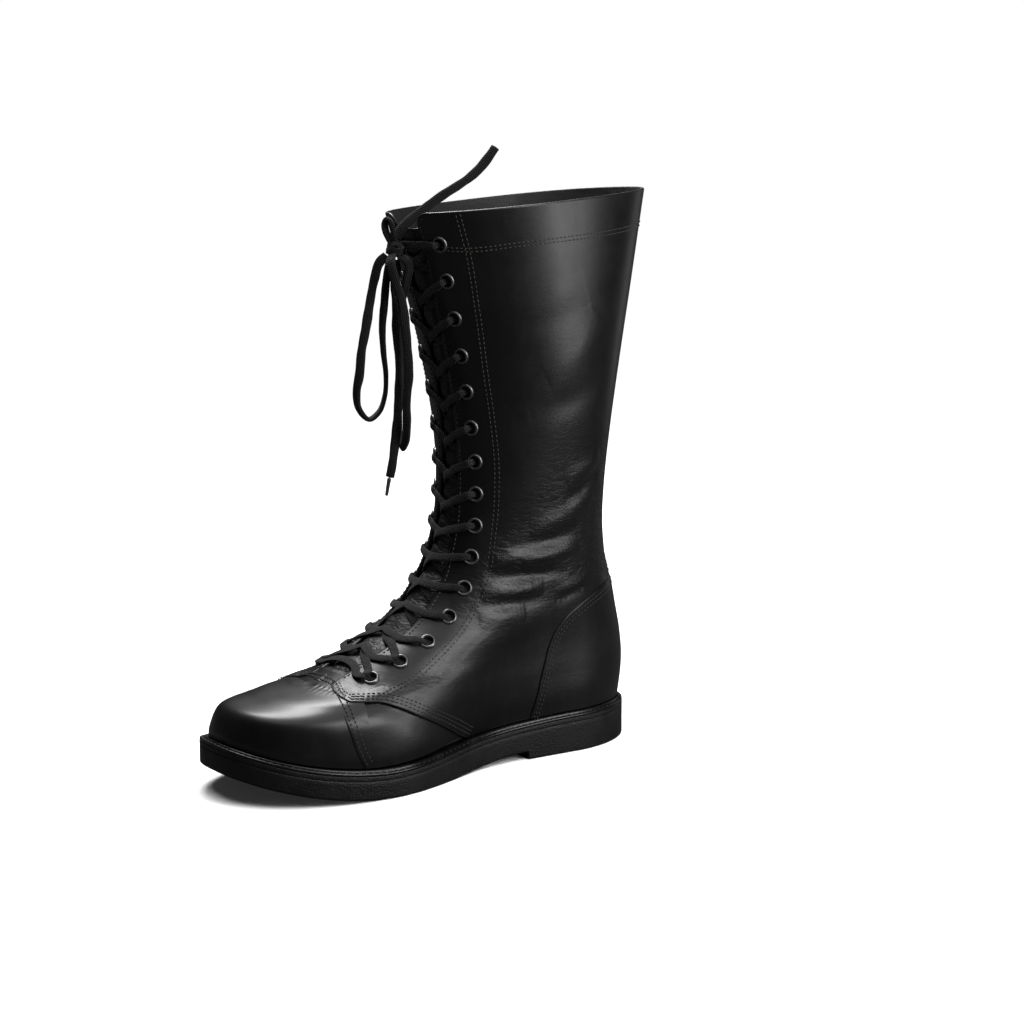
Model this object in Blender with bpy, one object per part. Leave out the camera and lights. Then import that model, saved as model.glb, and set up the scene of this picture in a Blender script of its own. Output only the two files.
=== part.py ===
"""Tall lace-up wrestling boot for the right foot.

Metres, +Z up, toe toward -Y, medial (inner) side toward +X, standing on Z = 0.
The tables and named sizes below are in millimetres, with Y = 0 at mid sole;
place() moves them to the boot's own origin and turns them into metres.
"""

from collections import namedtuple

import bmesh
import bpy
import numpy as np

MM = 0.001
GAP = 0.3  # clearance between two neighbouring pieces
CENTRE_X = -0.06  # middle of the boot's box, in the tables' own millimetres
CENTRE_Y = 1.9
MEDIAL, LATERAL = 1, -1

# Sole, measured forward from the back of the heel
SOLE_LENGTH = 300.0
BALL_MEDIAL, BALL_LATERAL = 61.0, 59.0
HEEL_MEDIAL, HEEL_LATERAL = 39.5, 39.0
ARCH_HOLLOW = 10.5  # how far the medial waist draws in
TOE_LENGTH, TOE_POWER = 110.0, 2.5
HEEL_LENGTH, HEEL_POWER = 62.0, 1.95
TOE_SHIFT = -5.0
BALL_END, HEEL_START = 0.30, 0.80  # parts of the length where the ball's and the heel's widths hold
WAIST_PLACE, WAIST_SPREAD = 0.55, 0.16
TOE_SPRING, SPRING_START = 18.0, 205.0
SOLE_AT_BALL, SOLE_AT_HEEL = 14.6, 22.7
WAIST_FRONT, WAIST_BACK = 217.0, 52.0  # where the sole's top climbs to the heel
HEEL_BREAST, BREAST_SLOPE, BREAST_STEP = 97.0, 1.5, 5.0
WAIST_GROUND = 165.0  # where the waist comes down to the ground again
SOLE_EDGE_BEVEL = 1.2
WELT_HEIGHT, WELT_LIP, WELT_WIDTH = 3.8, 1.4, 9.0
WELT_SIDE_INSET, WELT_TOP_INSET = 0.2, 2.9
BED_INSET = WELT_WIDTH + GAP
INSOLE_THICKNESS, INSOLE_TAPER = 3.2, 0.8

# Upper
WALL = 2.2
RINGS = 25
THROAT_FRONT = 80.0  # length along the front line from feather line to throat
BACK_COLUMNS = 14  # columns from the facing round to the back, on each side
FACING_STEPS = (0.0, 6.0, 13.0, 21.0)  # columns behind the facing's front edge
TONGUE_THICKNESS = 1.6

# Eyelets and lace
EYELET_SIDES = 10
FLANGE_RADIUS, FLANGE_SLOPE, BARREL_RADIUS, HOLE_RADIUS = 4.9, 1.1, 3.5, 2.7
FLANGE_SEAT, FLANGE_HEIGHT = 0.8, 0.8
BARREL_START = 1.5 * GAP - WALL  # a little short of the tongue below
LACE_WIDTH, LACE_THICKNESS = 5.0, 1.5
LACE_TUCK = 2.4  # how far inside a facing's edge a strand ends beneath it
LACE_OVER_EYELET = FLANGE_SEAT + FLANGE_HEIGHT + 2.5 * GAP + LACE_THICKNESS / 2
LACE_OVER_TONGUE = 1.1
LACE_UNDER_EDGE = -0.9  # where a strand dips under the far facing
# part of the way down to the next row at which each crossing's strands meet, top to bottom
CROSSING_MIDDLES = (0.5, 0.5, 0.5, 0.5, 0.5, 0.5, 0.5, 0.5, 0.4, 0.3, 0.22, 0.2, 0.2, 0.2)
BAR_STOPS = 6
LOOSE_LACE_RADIUS, AGLET_RADIUS = 2.3, 1.0
LOOSE_LACE_SPACING = 11.0
KNOT_CLEARANCE = 1.0
KNOT_CENTRE, KNOT_RADII = (-3.0, -19.7, 320.5), (6.5, 5.2, 5.5)

# Half widths are from the centre line; waist is how far the middle draws in;
# toe_len and heel_len are the lengths of the round ends, with their powers;
# hug is how closely the ring follows the feather line's dips (1) or is flat (0).
Section = namedtuple(
    "Section",
    "front_y front_z back_y back_z ball_in ball_out heel_in heel_out waist_in waist_out"
    " toe_len heel_len toe_pow heel_pow toe_shift hug",
)
UPPER = [
    #        front        back        ball        heel        waist   round ends      powers     shift hug
    Section(-144.6, 36.7, 145.7, 26.8, 56.7, 54.7, 35.2, 34.7, 10.5, 0, 106, 58, 2.50, 1.95, -5.0, 1.0),
    Section(-144.3, 41.5, 147.5, 40.0, 57.0, 54.5, 36.0, 35.5, 9.0, 0, 104, 57, 2.45, 1.95, -5.0, 1.0),
    Section(-137.8, 56.0, 148.0, 55.0, 54.5, 52.5, 35.5, 35.5, 6.0, 0, 98, 55, 2.40, 2.00, -4.0, 0.8),
    Section(-118.0, 61.0, 146.5, 70.0, 49.5, 48.0, 35.0, 35.0, 4.0, 0, 90, 54, 2.30, 2.00, -3.0, 0.45),
    Section(-86.0, 63.5, 143.0, 86.0, 44.0, 43.5, 35.0, 35.0, 2.0, 0, 80, 53, 2.20, 2.00, -2.0, 0.15),
    Section(-54.0, 75.5, 139.0, 101.0, 40.5, 40.5, 35.5, 35.5, 0.0, 0, 74, 54, 2.20, 2.10, 0.0, 0.0),
    Section(-23.0, 94.5, 135.0, 115.0, 38.5, 38.5, 36.5, 36.5, 0.0, 0, 70, 57, 2.20, 2.10, 0.0, 0.0),
    Section(-1.0, 119.0, 131.5, 129.0, 38.5, 38.5, 38.5, 38.5, 0.0, 0, 66, 66, 2.30, 2.30, 0.0, 0.0),
    Section(11.0, 147.0, 129.0, 147.0, 39.5, 39.5, 39.5, 39.5, 0.0, 0, 59, 59, 2.30, 2.30, 0.0, 0.0),
    Section(16.0, 177.0, 128.5, 173.0, 43.0, 43.0, 43.0, 43.0, 0.0, 0, 56, 56, 2.30, 2.30, 0.0, 0.0),
    Section(15.5, 212.0, 130.5, 207.0, 48.5, 48.5, 48.5, 48.5, 0.0, 0, 58, 58, 2.30, 2.30, 0.0, 0.0),
    Section(9.0, 252.0, 136.0, 251.0, 54.0, 54.0, 54.0, 54.0, 0.0, 0, 64, 64, 2.30, 2.30, 0.0, 0.0),
    Section(-2.5, 295.0, 144.0, 300.0, 58.5, 58.5, 58.5, 58.5, 0.0, 0, 73, 73, 2.30, 2.30, 0.0, 0.0),
    Section(-16.0, 341.0, 153.5, 358.0, 61.0, 61.0, 61.0, 61.0, 0.0, 0, 85, 85, 2.40, 2.40, 0.0, 0.0),
]

# Half of the gap between the facings, against length along the front line
Eyelet = namedtuple("Eyelet", "along step")
EYELETS = [  # top to bottom: length up the front from the feather line, and step behind the facing's edge
    Eyelet(388.0, 13.2), Eyelet(365.5, 13.0), Eyelet(342.0, 13.0), Eyelet(318.5, 13.0), Eyelet(296.0, 12.8),
    Eyelet(273.5, 12.6), Eyelet(252.5, 12.6), Eyelet(232.5, 12.2), Eyelet(212.5, 12.0), Eyelet(192.0, 11.8),
    Eyelet(169.5, 11.6), Eyelet(145.5, 11.8), Eyelet(121.0, 14.0), Eyelet(101.0, 16.0), Eyelet(84.6, 15.2),
]
Gap = namedtuple("Gap", "along half")
THROAT = [  # length up the front, and half the gap between the facings
    Gap(0, 11.0), Gap(84, 13.4), Gap(101, 14.2), Gap(119, 16.2), Gap(133, 16.8), Gap(147, 16.5), Gap(170, 15.2),
    Gap(193, 12.6), Gap(213, 11.1), Gap(233, 10.0), Gap(253, 9.2), Gap(274, 8.3), Gap(296, 8.0), Gap(318, 8.7),
    Gap(342, 9.9), Gap(366, 11.0), Gap(388, 12.1), Gap(422, 13.4),
]

# A stop on a strand of lace: part of the way from one row to the next, distance from the
# throat's centre line (negative past it), and height over the leather's outside
LaceStop = namedtuple("LaceStop", "part across height")

# Loose lace: the way each strand leaves the knot, the points that it hangs through,
# and, for a loop, the way it comes back into the knot
Strand = namedtuple("Strand", "name leaves points returns")
LOOSE_LACE = [
    Strand(
        "lace_loop_large", (-0.45, -0.65, -0.60),
        [(-8.4, -26.8, 313.3), (-10, -30, 303), (-11, -33, 288), (-11, -36, 273), (-13, -38, 259),
         (-14, -39, 245), (-16, -40, 234), (-17, -38, 224), (-16, -31, 217), (-15, -25, 221),
         (-14, -21, 231), (-14, -20, 243), (-15, -21, 258), (-16, -21, 273), (-15, -20, 288),
         (-14, -19, 302), (-12.7, -17.2, 313.2)],
        (-0.80, 0.15, -0.60),
    ),
    Strand(
        "lace_loop_small", (0.50, -0.70, -0.55),
        [(3.4, -27.0, 312.5), (4.5, -25, 303), (4.5, -20, 290), (5, -18, 275), (6, -17, 260), (7, -17, 245),
         (6, -18, 230), (6, -18, 215), (3, -17, 205), (-4, -15, 200), (-11, -12, 204), (-13, -11, 213),
         (-13, -11, 228), (-12, -10, 244), (-11, -11, 259), (-9, -12, 274), (-6, -13, 290), (1, -14, 302),
         (5.0, -15.6, 313.0)],
        (0.70, 0.30, -0.65),
    ),
    Strand(
        "lace_end_down", (0.0, 0.0, -1.0),
        [(-3, -19, 309), (-3.5, -19.5, 298), (-3, -19, 287), (-4, -18.5, 272), (-3, -18, 254), (-3, -18, 235),
         (-1.5, -20, 217), (-3, -21, 202), (-4, -22.5, 189), (-5, -23.5, 182)],
        None,
    ),
    Strand(
        "lace_end_up", (0.10, 0.05, 1.0),
        [(-1.8, -15.5, 333), (0, -4.5, 342), (1, 5, 348.5), (2, 14, 354), (3, 23, 359), (4, 31, 364),
         (5, 37, 369), (6.5, 42.5, 375.5), (8, 47, 382)],
        None,
    ),
]
AGLET = [(-5.1, -23.9, 181.2), (-5.9, -24.5, 176), (-6.7, -25, 170.6)]

# Sole stations, forward from the back of the heel; the breast falls between two of them
HEEL_STATIONS = (0.4, 2.5, 7.0, 14.0, 24.0, 38.0, 56.0, 76.0, HEEL_BREAST)
FORE_STATIONS = (HEEL_BREAST + BREAST_SLOPE, 115.0, 132.0, 149.0, 166.0, 186.0, 206.0, 223.0, 238.0,
                 252.0, 264.0, 274.5, 283.0, 290.0, 295.0, 298.3, 299.7)

FINISH = {  # colour, roughness, metallic
    "rubber": ((0.012, 0.012, 0.013), 0.55, 0.0),
    "leather": ((0.010, 0.010, 0.011), 0.30, 0.0),
    "insole_board": ((0.05, 0.045, 0.04), 0.75, 0.0),
    "eyelet_metal": ((0.05, 0.05, 0.055), 0.25, 1.0),
    "lace_fabric": ((0.012, 0.012, 0.012), 0.80, 0.0),
}


# ---------------------------------------------------------------- curves and rings

def smooth_step(low, high, value):
    u = np.clip((value - low) / (high - low), 0.0, 1.0)
    return u * u * (3.0 - 2.0 * u)


def hermite(knots, rows, at):
    """Rows of a table at places between its knots, on one smooth curve."""
    slopes = np.gradient(rows, knots, axis=0)
    i = np.clip(np.searchsorted(knots, at, side="right") - 1, 0, len(knots) - 2)
    span = (knots[i + 1] - knots[i])[:, None]
    u = (at[:, None] - knots[i][:, None]) / span
    start = (1 + 2 * u) * (1 - u) ** 2 * rows[i] + u * (1 - u) ** 2 * span * slopes[i]
    end = u * u * (3 - 2 * u) * rows[i + 1] - u * u * (1 - u) * span * slopes[i + 1]
    return start + end


def round_end(distance, length, power):
    """0 at the end of a foot shape, 1 where its round end is over."""
    near = np.clip(distance / length, 0.0, 1.0)
    return (1.0 - (1.0 - near) ** power) ** (1.0 / power)


def spring(t):
    return TOE_SPRING * np.clip((t - SPRING_START) / (SOLE_LENGTH - SPRING_START), 0.0, 1.1) ** 2


def sole_top(t):
    climb = 1.0 - smooth_step(WAIST_BACK, WAIST_FRONT, t)
    return spring(t) + SOLE_AT_BALL + (SOLE_AT_HEEL - SOLE_AT_BALL) * climb


def sole_bottom(t):
    waist = np.where(t > HEEL_BREAST, 1.0 - smooth_step(HEEL_BREAST, WAIST_GROUND, t), 0.0)
    return spring(t) + BREAST_STEP * waist


def feather_height(t):
    return sole_top(t) + WELT_HEIGHT


def half_width(section, s, side, length):
    """From the centre line to the side, at part s of the way from front to back."""
    ball, heel, waist = (
        (section.ball_in, section.heel_in, section.waist_in)
        if side == MEDIAL
        else (section.ball_out, section.heel_out, section.waist_out)
    )
    width = heel + (ball - heel) * (1.0 - smooth_step(BALL_END, HEEL_START, s))
    width = width - waist * np.exp(-(((s - WAIST_PLACE) / WAIST_SPREAD) ** 2))
    front = round_end(s * length, section.toe_len, section.toe_pow)
    back = round_end((1.0 - s) * length, section.heel_len, section.heel_pow)
    return width * front * back


def ring_points(section, s, side):
    """Points of one side of a ring, at parts s of the way from front to back."""
    y = section.front_y + (section.back_y - section.front_y) * s
    z = section.front_z + (section.back_z - section.front_z) * s
    length = np.hypot(section.back_y - section.front_y, section.back_z - section.front_z)
    t = SOLE_LENGTH / 2 - y
    flat = UPPER[0].front_z + (UPPER[0].back_z - UPPER[0].front_z) * s
    z = z + section.hug * (feather_height(t) + GAP - flat)
    x = section.toe_shift * (1.0 - s) ** 2 + side * half_width(section, s, side, length)
    return np.stack([x, y, z], axis=-1)


def running_length(points):
    return np.r_[0.0, np.cumsum(np.linalg.norm(np.diff(points, axis=0), axis=1))]


class UpperShape:
    """The outside of the upper: section(v) for v from 0 at the sole to 1 at the collar."""

    FINE = 401  # samples where a length is measured along a curve

    def __init__(self):
        self.rows = np.array(UPPER, float)
        front, back = self.rows[:, 0:2], self.rows[:, 2:4]
        self.knots = (running_length(front) + running_length(back)) / 2
        self.knots = self.knots / self.knots[-1]
        self.v = np.linspace(0.0, 1.0, self.FINE)
        fine = hermite(self.knots, self.rows, self.v)
        self.along = running_length(fine[:, 0:2])  # length along the front line

    def section(self, v):
        return Section(*hermite(self.knots, self.rows, np.array([float(v)]))[0])

    def v_at(self, along):
        return float(np.interp(along, self.along, self.v))

    def throat_half(self, v):
        along = np.interp(v, self.v, self.along)
        return float(np.interp(along, [g.along for g in THROAT], [g.half for g in THROAT]))

    def side_points(self, v, side, steps, back_columns):
        """The columns of one side of ring v: at the throat's edge and each step
        behind it, and then evenly round to the back."""
        section = self.section(v)
        s = 0.5 - 0.5 * np.cos(np.linspace(0.0, np.pi, self.FINE))
        points = ring_points(section, s, side)
        out = np.abs(points[:, 0] - section.toe_shift)
        widest = int(np.argmax(out))
        offsets = self.throat_half(v) + np.array(steps)
        front_s = np.interp(offsets, out[: widest + 1], s[: widest + 1])
        arc = running_length(points)
        start = np.interp(front_s[-1], s, arc)
        arcs = np.linspace(start, arc[-1], back_columns + 1)[1:]
        back_s = np.interp(arcs, arc, s)
        return ring_points(section, np.r_[front_s, back_s], side)

    def ring(self, v):
        """Closed ring: front centre, medial side to the back, lateral side to the front."""
        centre = ring_points(self.section(v), np.zeros(1), MEDIAL)
        medial = self.side_points(v, MEDIAL, FACING_STEPS, BACK_COLUMNS)
        lateral = self.side_points(v, LATERAL, FACING_STEPS, BACK_COLUMNS)[::-1]
        return np.vstack([centre, medial, lateral[1:]])

    def facing_point(self, v, side, step):
        """A point on the facing, step behind its front edge, and the way out of the leather there."""
        def at(v, step):
            return self.side_points(v, side, (step,), 1)[0]
        here = at(v, step)
        up = at(min(v + 0.004, 1.0), step) - at(max(v - 0.004, 0.0), step)
        across = at(v, step + 1.0) - at(v, step - 1.0)
        out = np.cross(across, up) * side
        return here, out / np.linalg.norm(out)


def grid_normals(grid):
    """Outward unit normals of a stack of closed rings."""
    around = np.roll(grid, -1, axis=1) - np.roll(grid, 1, axis=1)
    up = np.gradient(grid, axis=0)
    normals = np.cross(around, up)
    return normals / np.linalg.norm(normals, axis=2, keepdims=True)


# ---------------------------------------------------------------- meshes and objects

def place(points):
    """Table millimetres to metres about the boot's own origin."""
    return (np.asarray(points, float) - (CENTRE_X, CENTRE_Y, 0.0)) * MM


def material(name):
    found = bpy.data.materials.get(name)
    if found:
        return found
    colour, roughness, metallic = FINISH[name]
    made = bpy.data.materials.new(name)
    made.use_nodes = True
    shader = made.node_tree.nodes["Principled BSDF"]
    shader.inputs["Base Color"].default_value = (*colour, 1.0)
    shader.inputs["Roughness"].default_value = roughness
    shader.inputs["Metallic"].default_value = metallic
    return made


def add_mesh(name, points, faces, finish, angle=35.0):
    mesh = bpy.data.meshes.new(name)
    mesh.from_pydata(place(points).tolist(), [], [list(map(int, face)) for face in faces])
    mesh.validate()
    cleaner = bmesh.new()
    cleaner.from_mesh(mesh)
    bmesh.ops.recalc_face_normals(cleaner, faces=cleaner.faces)
    cleaner.to_mesh(mesh)
    cleaner.free()
    mesh.shade_smooth()
    mesh.set_sharp_from_angle(angle=np.radians(angle))
    mesh.materials.append(material(finish))
    made = bpy.data.objects.new(name, mesh)
    bpy.context.collection.objects.link(made)
    return made


def shell(outer, inner, present):
    """Closed wall between two grids, over the cells that present marks. Every cell is
    split along the same diagonal, so that neighbouring shells keep an even gap."""
    rows, columns = outer.shape[:2]
    index = np.arange(rows * columns).reshape(rows, columns)
    far = rows * columns
    edges = {}
    faces = []
    for r, c in zip(*np.nonzero(present)):
        d = (c + 1) % columns
        cell = (index[r, c], index[r, d], index[r + 1, d], index[r + 1, c])
        for corners in ((0, 1, 2), (0, 2, 3)):
            faces.append(tuple(cell[i] for i in corners))
            faces.append(tuple(far + cell[i] for i in reversed(corners)))
        for a, b in zip(cell, cell[1:] + cell[:1]):
            if (b, a) in edges:
                del edges[(b, a)]
            else:
                edges[(a, b)] = True
    for a, b in edges:
        faces.append((b, a, far + a, far + b))
    points = np.vstack([outer.reshape(-1, 3), inner.reshape(-1, 3)])
    used = sorted({i for face in faces for i in face})
    number = {old: new for new, old in enumerate(used)}
    return points[used], [tuple(number[i] for i in face) for face in faces]


def loft(loops, paired_caps=True):
    """Loops joined in order; the first and last are closed by strips between their
    medial and lateral halves."""
    count = len(loops[0])
    points = np.vstack(loops)
    faces = []
    for k in range(len(loops) - 1):
        for i in range(count):
            j = (i + 1) % count
            faces.append((k * count + i, k * count + j, (k + 1) * count + j, (k + 1) * count + i))
    if paired_caps:
        for base in (0, (len(loops) - 1) * count):
            for i in range(count // 2 - 1):
                a, b = i, i + 1
                faces.append((base + a, base + b, base + count - 1 - b, base + count - 1 - a))
    else:
        last = (len(loops) - 1) * count
        for i in range(count):
            j = (i + 1) % count
            faces.append((last + i, last + j, j, i))
    return points, faces


def cut(target, cutter, operation="DIFFERENCE"):
    modifier = target.modifiers.new("cut", "BOOLEAN")
    modifier.operation = operation
    modifier.solver = "EXACT"
    modifier.object = cutter
    cutter.hide_render = True
    cutter.display_type = "WIRE"


# ---------------------------------------------------------------- sole, welt, insole

def outline(stations, inset):
    """Sole outline moved inward by inset: medial points heel to toe, then lateral back."""
    section = Section(
        -SOLE_LENGTH / 2, 0, SOLE_LENGTH / 2, 0, BALL_MEDIAL, BALL_LATERAL, HEEL_MEDIAL, HEEL_LATERAL,
        ARCH_HOLLOW, 0, TOE_LENGTH, HEEL_LENGTH, TOE_POWER, HEEL_POWER, TOE_SHIFT, 0.0,
    )
    def side_line(t, side):
        return ring_points(section, 1.0 - t / SOLE_LENGTH, side)[:, :2]
    t = np.array(stations)
    halves = []
    for side in (MEDIAL, LATERAL):
        nudge = 0.2
        here = side_line(t, side)
        ahead = side_line(t + nudge, side) - side_line(t - nudge, side)
        inward = np.stack([ahead[:, 1], -ahead[:, 0]], axis=1) * side
        inward /= np.linalg.norm(inward, axis=1, keepdims=True)
        halves.append(here + inward * inset)
    return np.vstack([halves[0], halves[1][::-1]])


def sole_loop(inset, height, stations=HEEL_STATIONS + FORE_STATIONS):
    """Outline loop at height(t). Near the edge t is the stations' own, so that the
    heel breast stays crisp, and further in it is each point's."""
    flat = outline(stations, inset)
    t = np.r_[stations, stations[::-1]]
    if inset > SOLE_EDGE_BEVEL:
        t = SOLE_LENGTH / 2 - flat[:, 1]
    return np.column_stack([flat, height(t)])


def make_outsole():
    loops = [
        sole_loop(SOLE_EDGE_BEVEL, sole_bottom),
        sole_loop(0.0, lambda t: sole_bottom(t) + SOLE_EDGE_BEVEL),
        sole_loop(0.0, sole_top),
        sole_loop(BED_INSET, sole_top),
        sole_loop(BED_INSET, lambda t: feather_height(t) - GAP),
    ]
    return add_mesh("outsole", *loft(loops), "rubber")


def make_welt():
    loops = [
        sole_loop(WELT_SIDE_INSET, lambda t: sole_top(t) + GAP),
        sole_loop(WELT_SIDE_INSET, lambda t: sole_top(t) + WELT_LIP),
        sole_loop(WELT_TOP_INSET, feather_height),
        sole_loop(WELT_WIDTH, feather_height),
        sole_loop(WELT_WIDTH, lambda t: sole_top(t) + GAP),
    ]
    return add_mesh("welt", *loft(loops, paired_caps=False), "rubber")


# ---------------------------------------------------------------- upper and tongue

def upper_rings(shape):
    """Places of the rings: evenly along the shape, with one at the throat's front."""
    throat = shape.v_at(THROAT_FRONT)
    below = max(2, round((RINGS - 1) * throat))
    return np.r_[np.linspace(0.0, throat, below + 1)[:-1], np.linspace(throat, 1.0, RINGS - below)], below


def upper_grids(shape):
    places, throat_row = upper_rings(shape)
    outer = np.array([shape.ring(v) for v in places])
    normals = grid_normals(outer)
    return outer, normals, throat_row


def make_upper(shape):
    outer, normals, throat_row = upper_grids(shape)
    flat = normals.copy()
    flat[[0, -1], :, 2] = 0.0  # the bottom and collar edges are cut square
    flat /= np.linalg.norm(flat, axis=2, keepdims=True)
    inner = outer - flat * WALL
    present = np.ones((outer.shape[0] - 1, outer.shape[1]), bool)
    present[throat_row:, 0] = False
    present[throat_row:, -1] = False
    return add_mesh("upper", *shell(outer, inner, present), "leather")


def make_tongue(shape):
    outer, normals, throat_row = upper_grids(shape)
    reach = len(FACING_STEPS)
    columns = np.r_[-reach:reach + 1]
    rows = slice(throat_row - 1, -1)
    front = outer[rows][:, columns] - normals[rows][:, columns] * (WALL + GAP)
    back = front - normals[rows][:, columns] * TONGUE_THICKNESS
    present = np.ones((front.shape[0] - 1, front.shape[1]), bool)
    present[:, -1] = False
    return add_mesh("tongue", *shell(front, back, present), "leather")


def make_insole(shape):
    """The board inside the upper's lowest ring, parallel to its wall."""
    outer, normals, _ = upper_grids(shape)
    inward = normals[0] * (1.0, 1.0, 0.0)
    inward /= np.linalg.norm(inward, axis=1, keepdims=True)
    bottom = outer[0] - inward * (WALL + 1.5 * GAP) + (0.0, 0.0, 0.5 * GAP)
    top = bottom - inward * INSOLE_TAPER + (0.0, 0.0, INSOLE_THICKNESS)
    points = np.vstack([bottom, top])
    count = len(bottom)
    faces = [(i, (i + 1) % count, count + (i + 1) % count, count + i) for i in range(count)]
    for base in (0, count):
        for i in range(count // 2):
            strip = (base + i, base + i + 1, base + count - 1 - i, base + (count - i) % count)
            faces.append(tuple(dict.fromkeys(strip)))
    return add_mesh("insole", points, faces, "insole_board")


# ---------------------------------------------------------------- eyelets and lace

def frame_at(out, toward):
    """Axes of a piece that stands on the leather: across, along and out."""
    along = toward - out * np.dot(toward, out)
    along /= np.linalg.norm(along)
    return np.stack([np.cross(along, out), along, out])


def eyelet_place(shape, row):
    """Place up the facing of eyelet row 0 (top) to the last (bottom)."""
    return shape.v_at(EYELETS[row].along)


def turned(profile, centre, axes, sides):
    """A closed profile of (radius, height) turned about the out axis at centre."""
    angles = np.linspace(0.0, 2 * np.pi, sides, endpoint=False)
    across, along, out = axes
    loops = [
        centre + radius * (np.cos(angles)[:, None] * across + np.sin(angles)[:, None] * along) + height * out
        for radius, height in profile
    ]
    return loops


def make_eyelet(name, centre, axes):
    top = FLANGE_SEAT + FLANGE_HEIGHT
    profile = [  # radius, height over the leather
        (HOLE_RADIUS, BARREL_START),
        (BARREL_RADIUS, BARREL_START),
        (BARREL_RADIUS, FLANGE_SEAT),
        (FLANGE_RADIUS, FLANGE_SEAT),
        (FLANGE_RADIUS - FLANGE_SLOPE, top),
    ]
    points, faces = loft(turned(profile, centre, axes, EYELET_SIDES), paired_caps=False)
    return add_mesh(name, points, faces, "eyelet_metal")


def make_eyelets(shape, upper):
    """Thirty eyelets, and the holes for them in the facings."""
    cutters = []
    for side, side_name in ((MEDIAL, "medial"), (LATERAL, "lateral")):
        for row, eyelet in enumerate(EYELETS):
            centre, out = shape.facing_point(eyelet_place(shape, row), side, eyelet.step)
            axes = frame_at(out, np.array([0.0, 0.0, 1.0]))
            make_eyelet(f"eyelet_{side_name}_{row + 1:02d}", centre, axes)
            hole = BARREL_RADIUS + GAP
            loops = turned([(hole, -2 * WALL), (hole, WALL)], centre, axes, EYELET_SIDES)
            count = EYELET_SIDES
            faces = [(i, (i + 1) % count, count + (i + 1) % count, count + i) for i in range(count)]
            faces += [tuple(range(count))[::-1], tuple(range(count, 2 * count))]
            cutters.append((np.vstack(loops), faces))
    points = np.vstack([part for part, _ in cutters])
    faces = []
    start = 0
    for part, part_faces in cutters:
        faces += [tuple(start + i for i in face) for face in part_faces]
        start += len(part)
    cut(upper, add_mesh("eyelet_holes", points, faces, "leather"))


def strap(name, path, outs):
    """A flat strip of lace along path, with outs the way out of the leather at each point."""
    across = np.cross(np.gradient(path, axis=0), outs)
    across *= LACE_WIDTH / 2 / np.linalg.norm(across, axis=1, keepdims=True)
    thick = outs * LACE_THICKNESS / 2
    corners = [path - across - thick, path + across - thick, path + across + thick, path - across + thick]
    rings = np.stack(corners, axis=1)
    last = (len(rings) - 1) * 4
    faces = [(3, 2, 1, 0), (last, last + 1, last + 2, last + 3)]
    for k in range(len(rings) - 1):
        for i in range(4):
            j = (i + 1) % 4
            faces.append((4 * k + i, 4 * k + j, 4 * k + 4 + j, 4 * k + 4 + i))
    return add_mesh(name, rings.reshape(-1, 3), faces, "lace_fabric")


def lace_path(shape, rows, side, stops):
    """Points of a strand between two eyelet rows, and the way out of the leather at each."""
    start, end = (eyelet_place(shape, row) for row in rows)
    points, outs = [], []
    for stop in stops:
        v = start + (end - start) * stop.part
        near = side if stop.across >= 0 else -side
        point, out = shape.facing_point(v, near, abs(stop.across) - shape.throat_half(v))
        points.append(point + out * stop.height)
        outs.append(out)
    return np.array(points), np.array(outs)


def crossing_strand(shape, row, side, tucked):
    """From over the eyelet (or, tucked, from under the facing) down across the throat,
    to just inside the far facing's edge."""
    half, step = shape.throat_half(eyelet_place(shape, row)), EYELETS[row].step
    inside = half - LACE_TUCK
    middle = CROSSING_MIDDLES[row]
    rest = 1.0 - middle
    stops = [
        LaceStop(0.00, half + step, LACE_OVER_EYELET),
        LaceStop(0.24 * middle, half + step / 2, LACE_OVER_EYELET - 0.2),
        LaceStop(0.52 * middle, half, LACE_OVER_EYELET - 0.5),
    ]
    if tucked:
        stops = [LaceStop(0.60 * middle, inside, LACE_UNDER_EDGE)]
    stops += [
        LaceStop(0.84 * middle, half * 0.4, LACE_OVER_TONGUE),
        LaceStop(middle, 0.0, LACE_OVER_TONGUE),
        LaceStop(middle + 0.20 * rest, -inside * 0.5, LACE_OVER_TONGUE / 2),
        LaceStop(middle + 0.44 * rest, -inside, LACE_UNDER_EDGE),
    ]
    return lace_path(shape, (row, row + 1), side, stops)


def make_crossings(shape):
    """Each row's two strands, joined where they cross."""
    for row in range(len(CROSSING_MIDDLES)):
        name = f"lace_crossing_{row + 1:02d}"
        tucked = row == 0
        over = strap(name, *crossing_strand(shape, row, MEDIAL, tucked))
        under = strap(name + "_under", *crossing_strand(shape, row, LATERAL, tucked))
        cut(over, under, "UNION")


def make_bars(shape):
    """The straight strands over the top and bottom rows."""
    for name, row in (("lace_bar_top", 0), ("lace_bar_bottom", len(EYELETS) - 1)):
        reach = shape.throat_half(eyelet_place(shape, row)) + EYELETS[row].step
        stops = [LaceStop(0.0, across, LACE_OVER_EYELET) for across in np.linspace(-reach, reach, BAR_STOPS)]
        strap(name, *lace_path(shape, (row, row), MEDIAL, stops))


def knot_exit(direction):
    """The middle of a strand's square end, clear of the knot."""
    way = np.array(direction) / np.linalg.norm(direction)
    surface = 1.0 / np.linalg.norm(way / np.array(KNOT_RADII))
    return np.array(KNOT_CENTRE) + way * (surface + KNOT_CLEARANCE)


def smooth_route(points, spacing):
    """Points evenly along one smooth curve through the route's points."""
    route = np.array(points, float)
    knots = running_length(route)
    count = max(3, round(knots[-1] / spacing) + 1)
    return hermite(knots, route, np.linspace(0.0, knots[-1], count))


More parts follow.
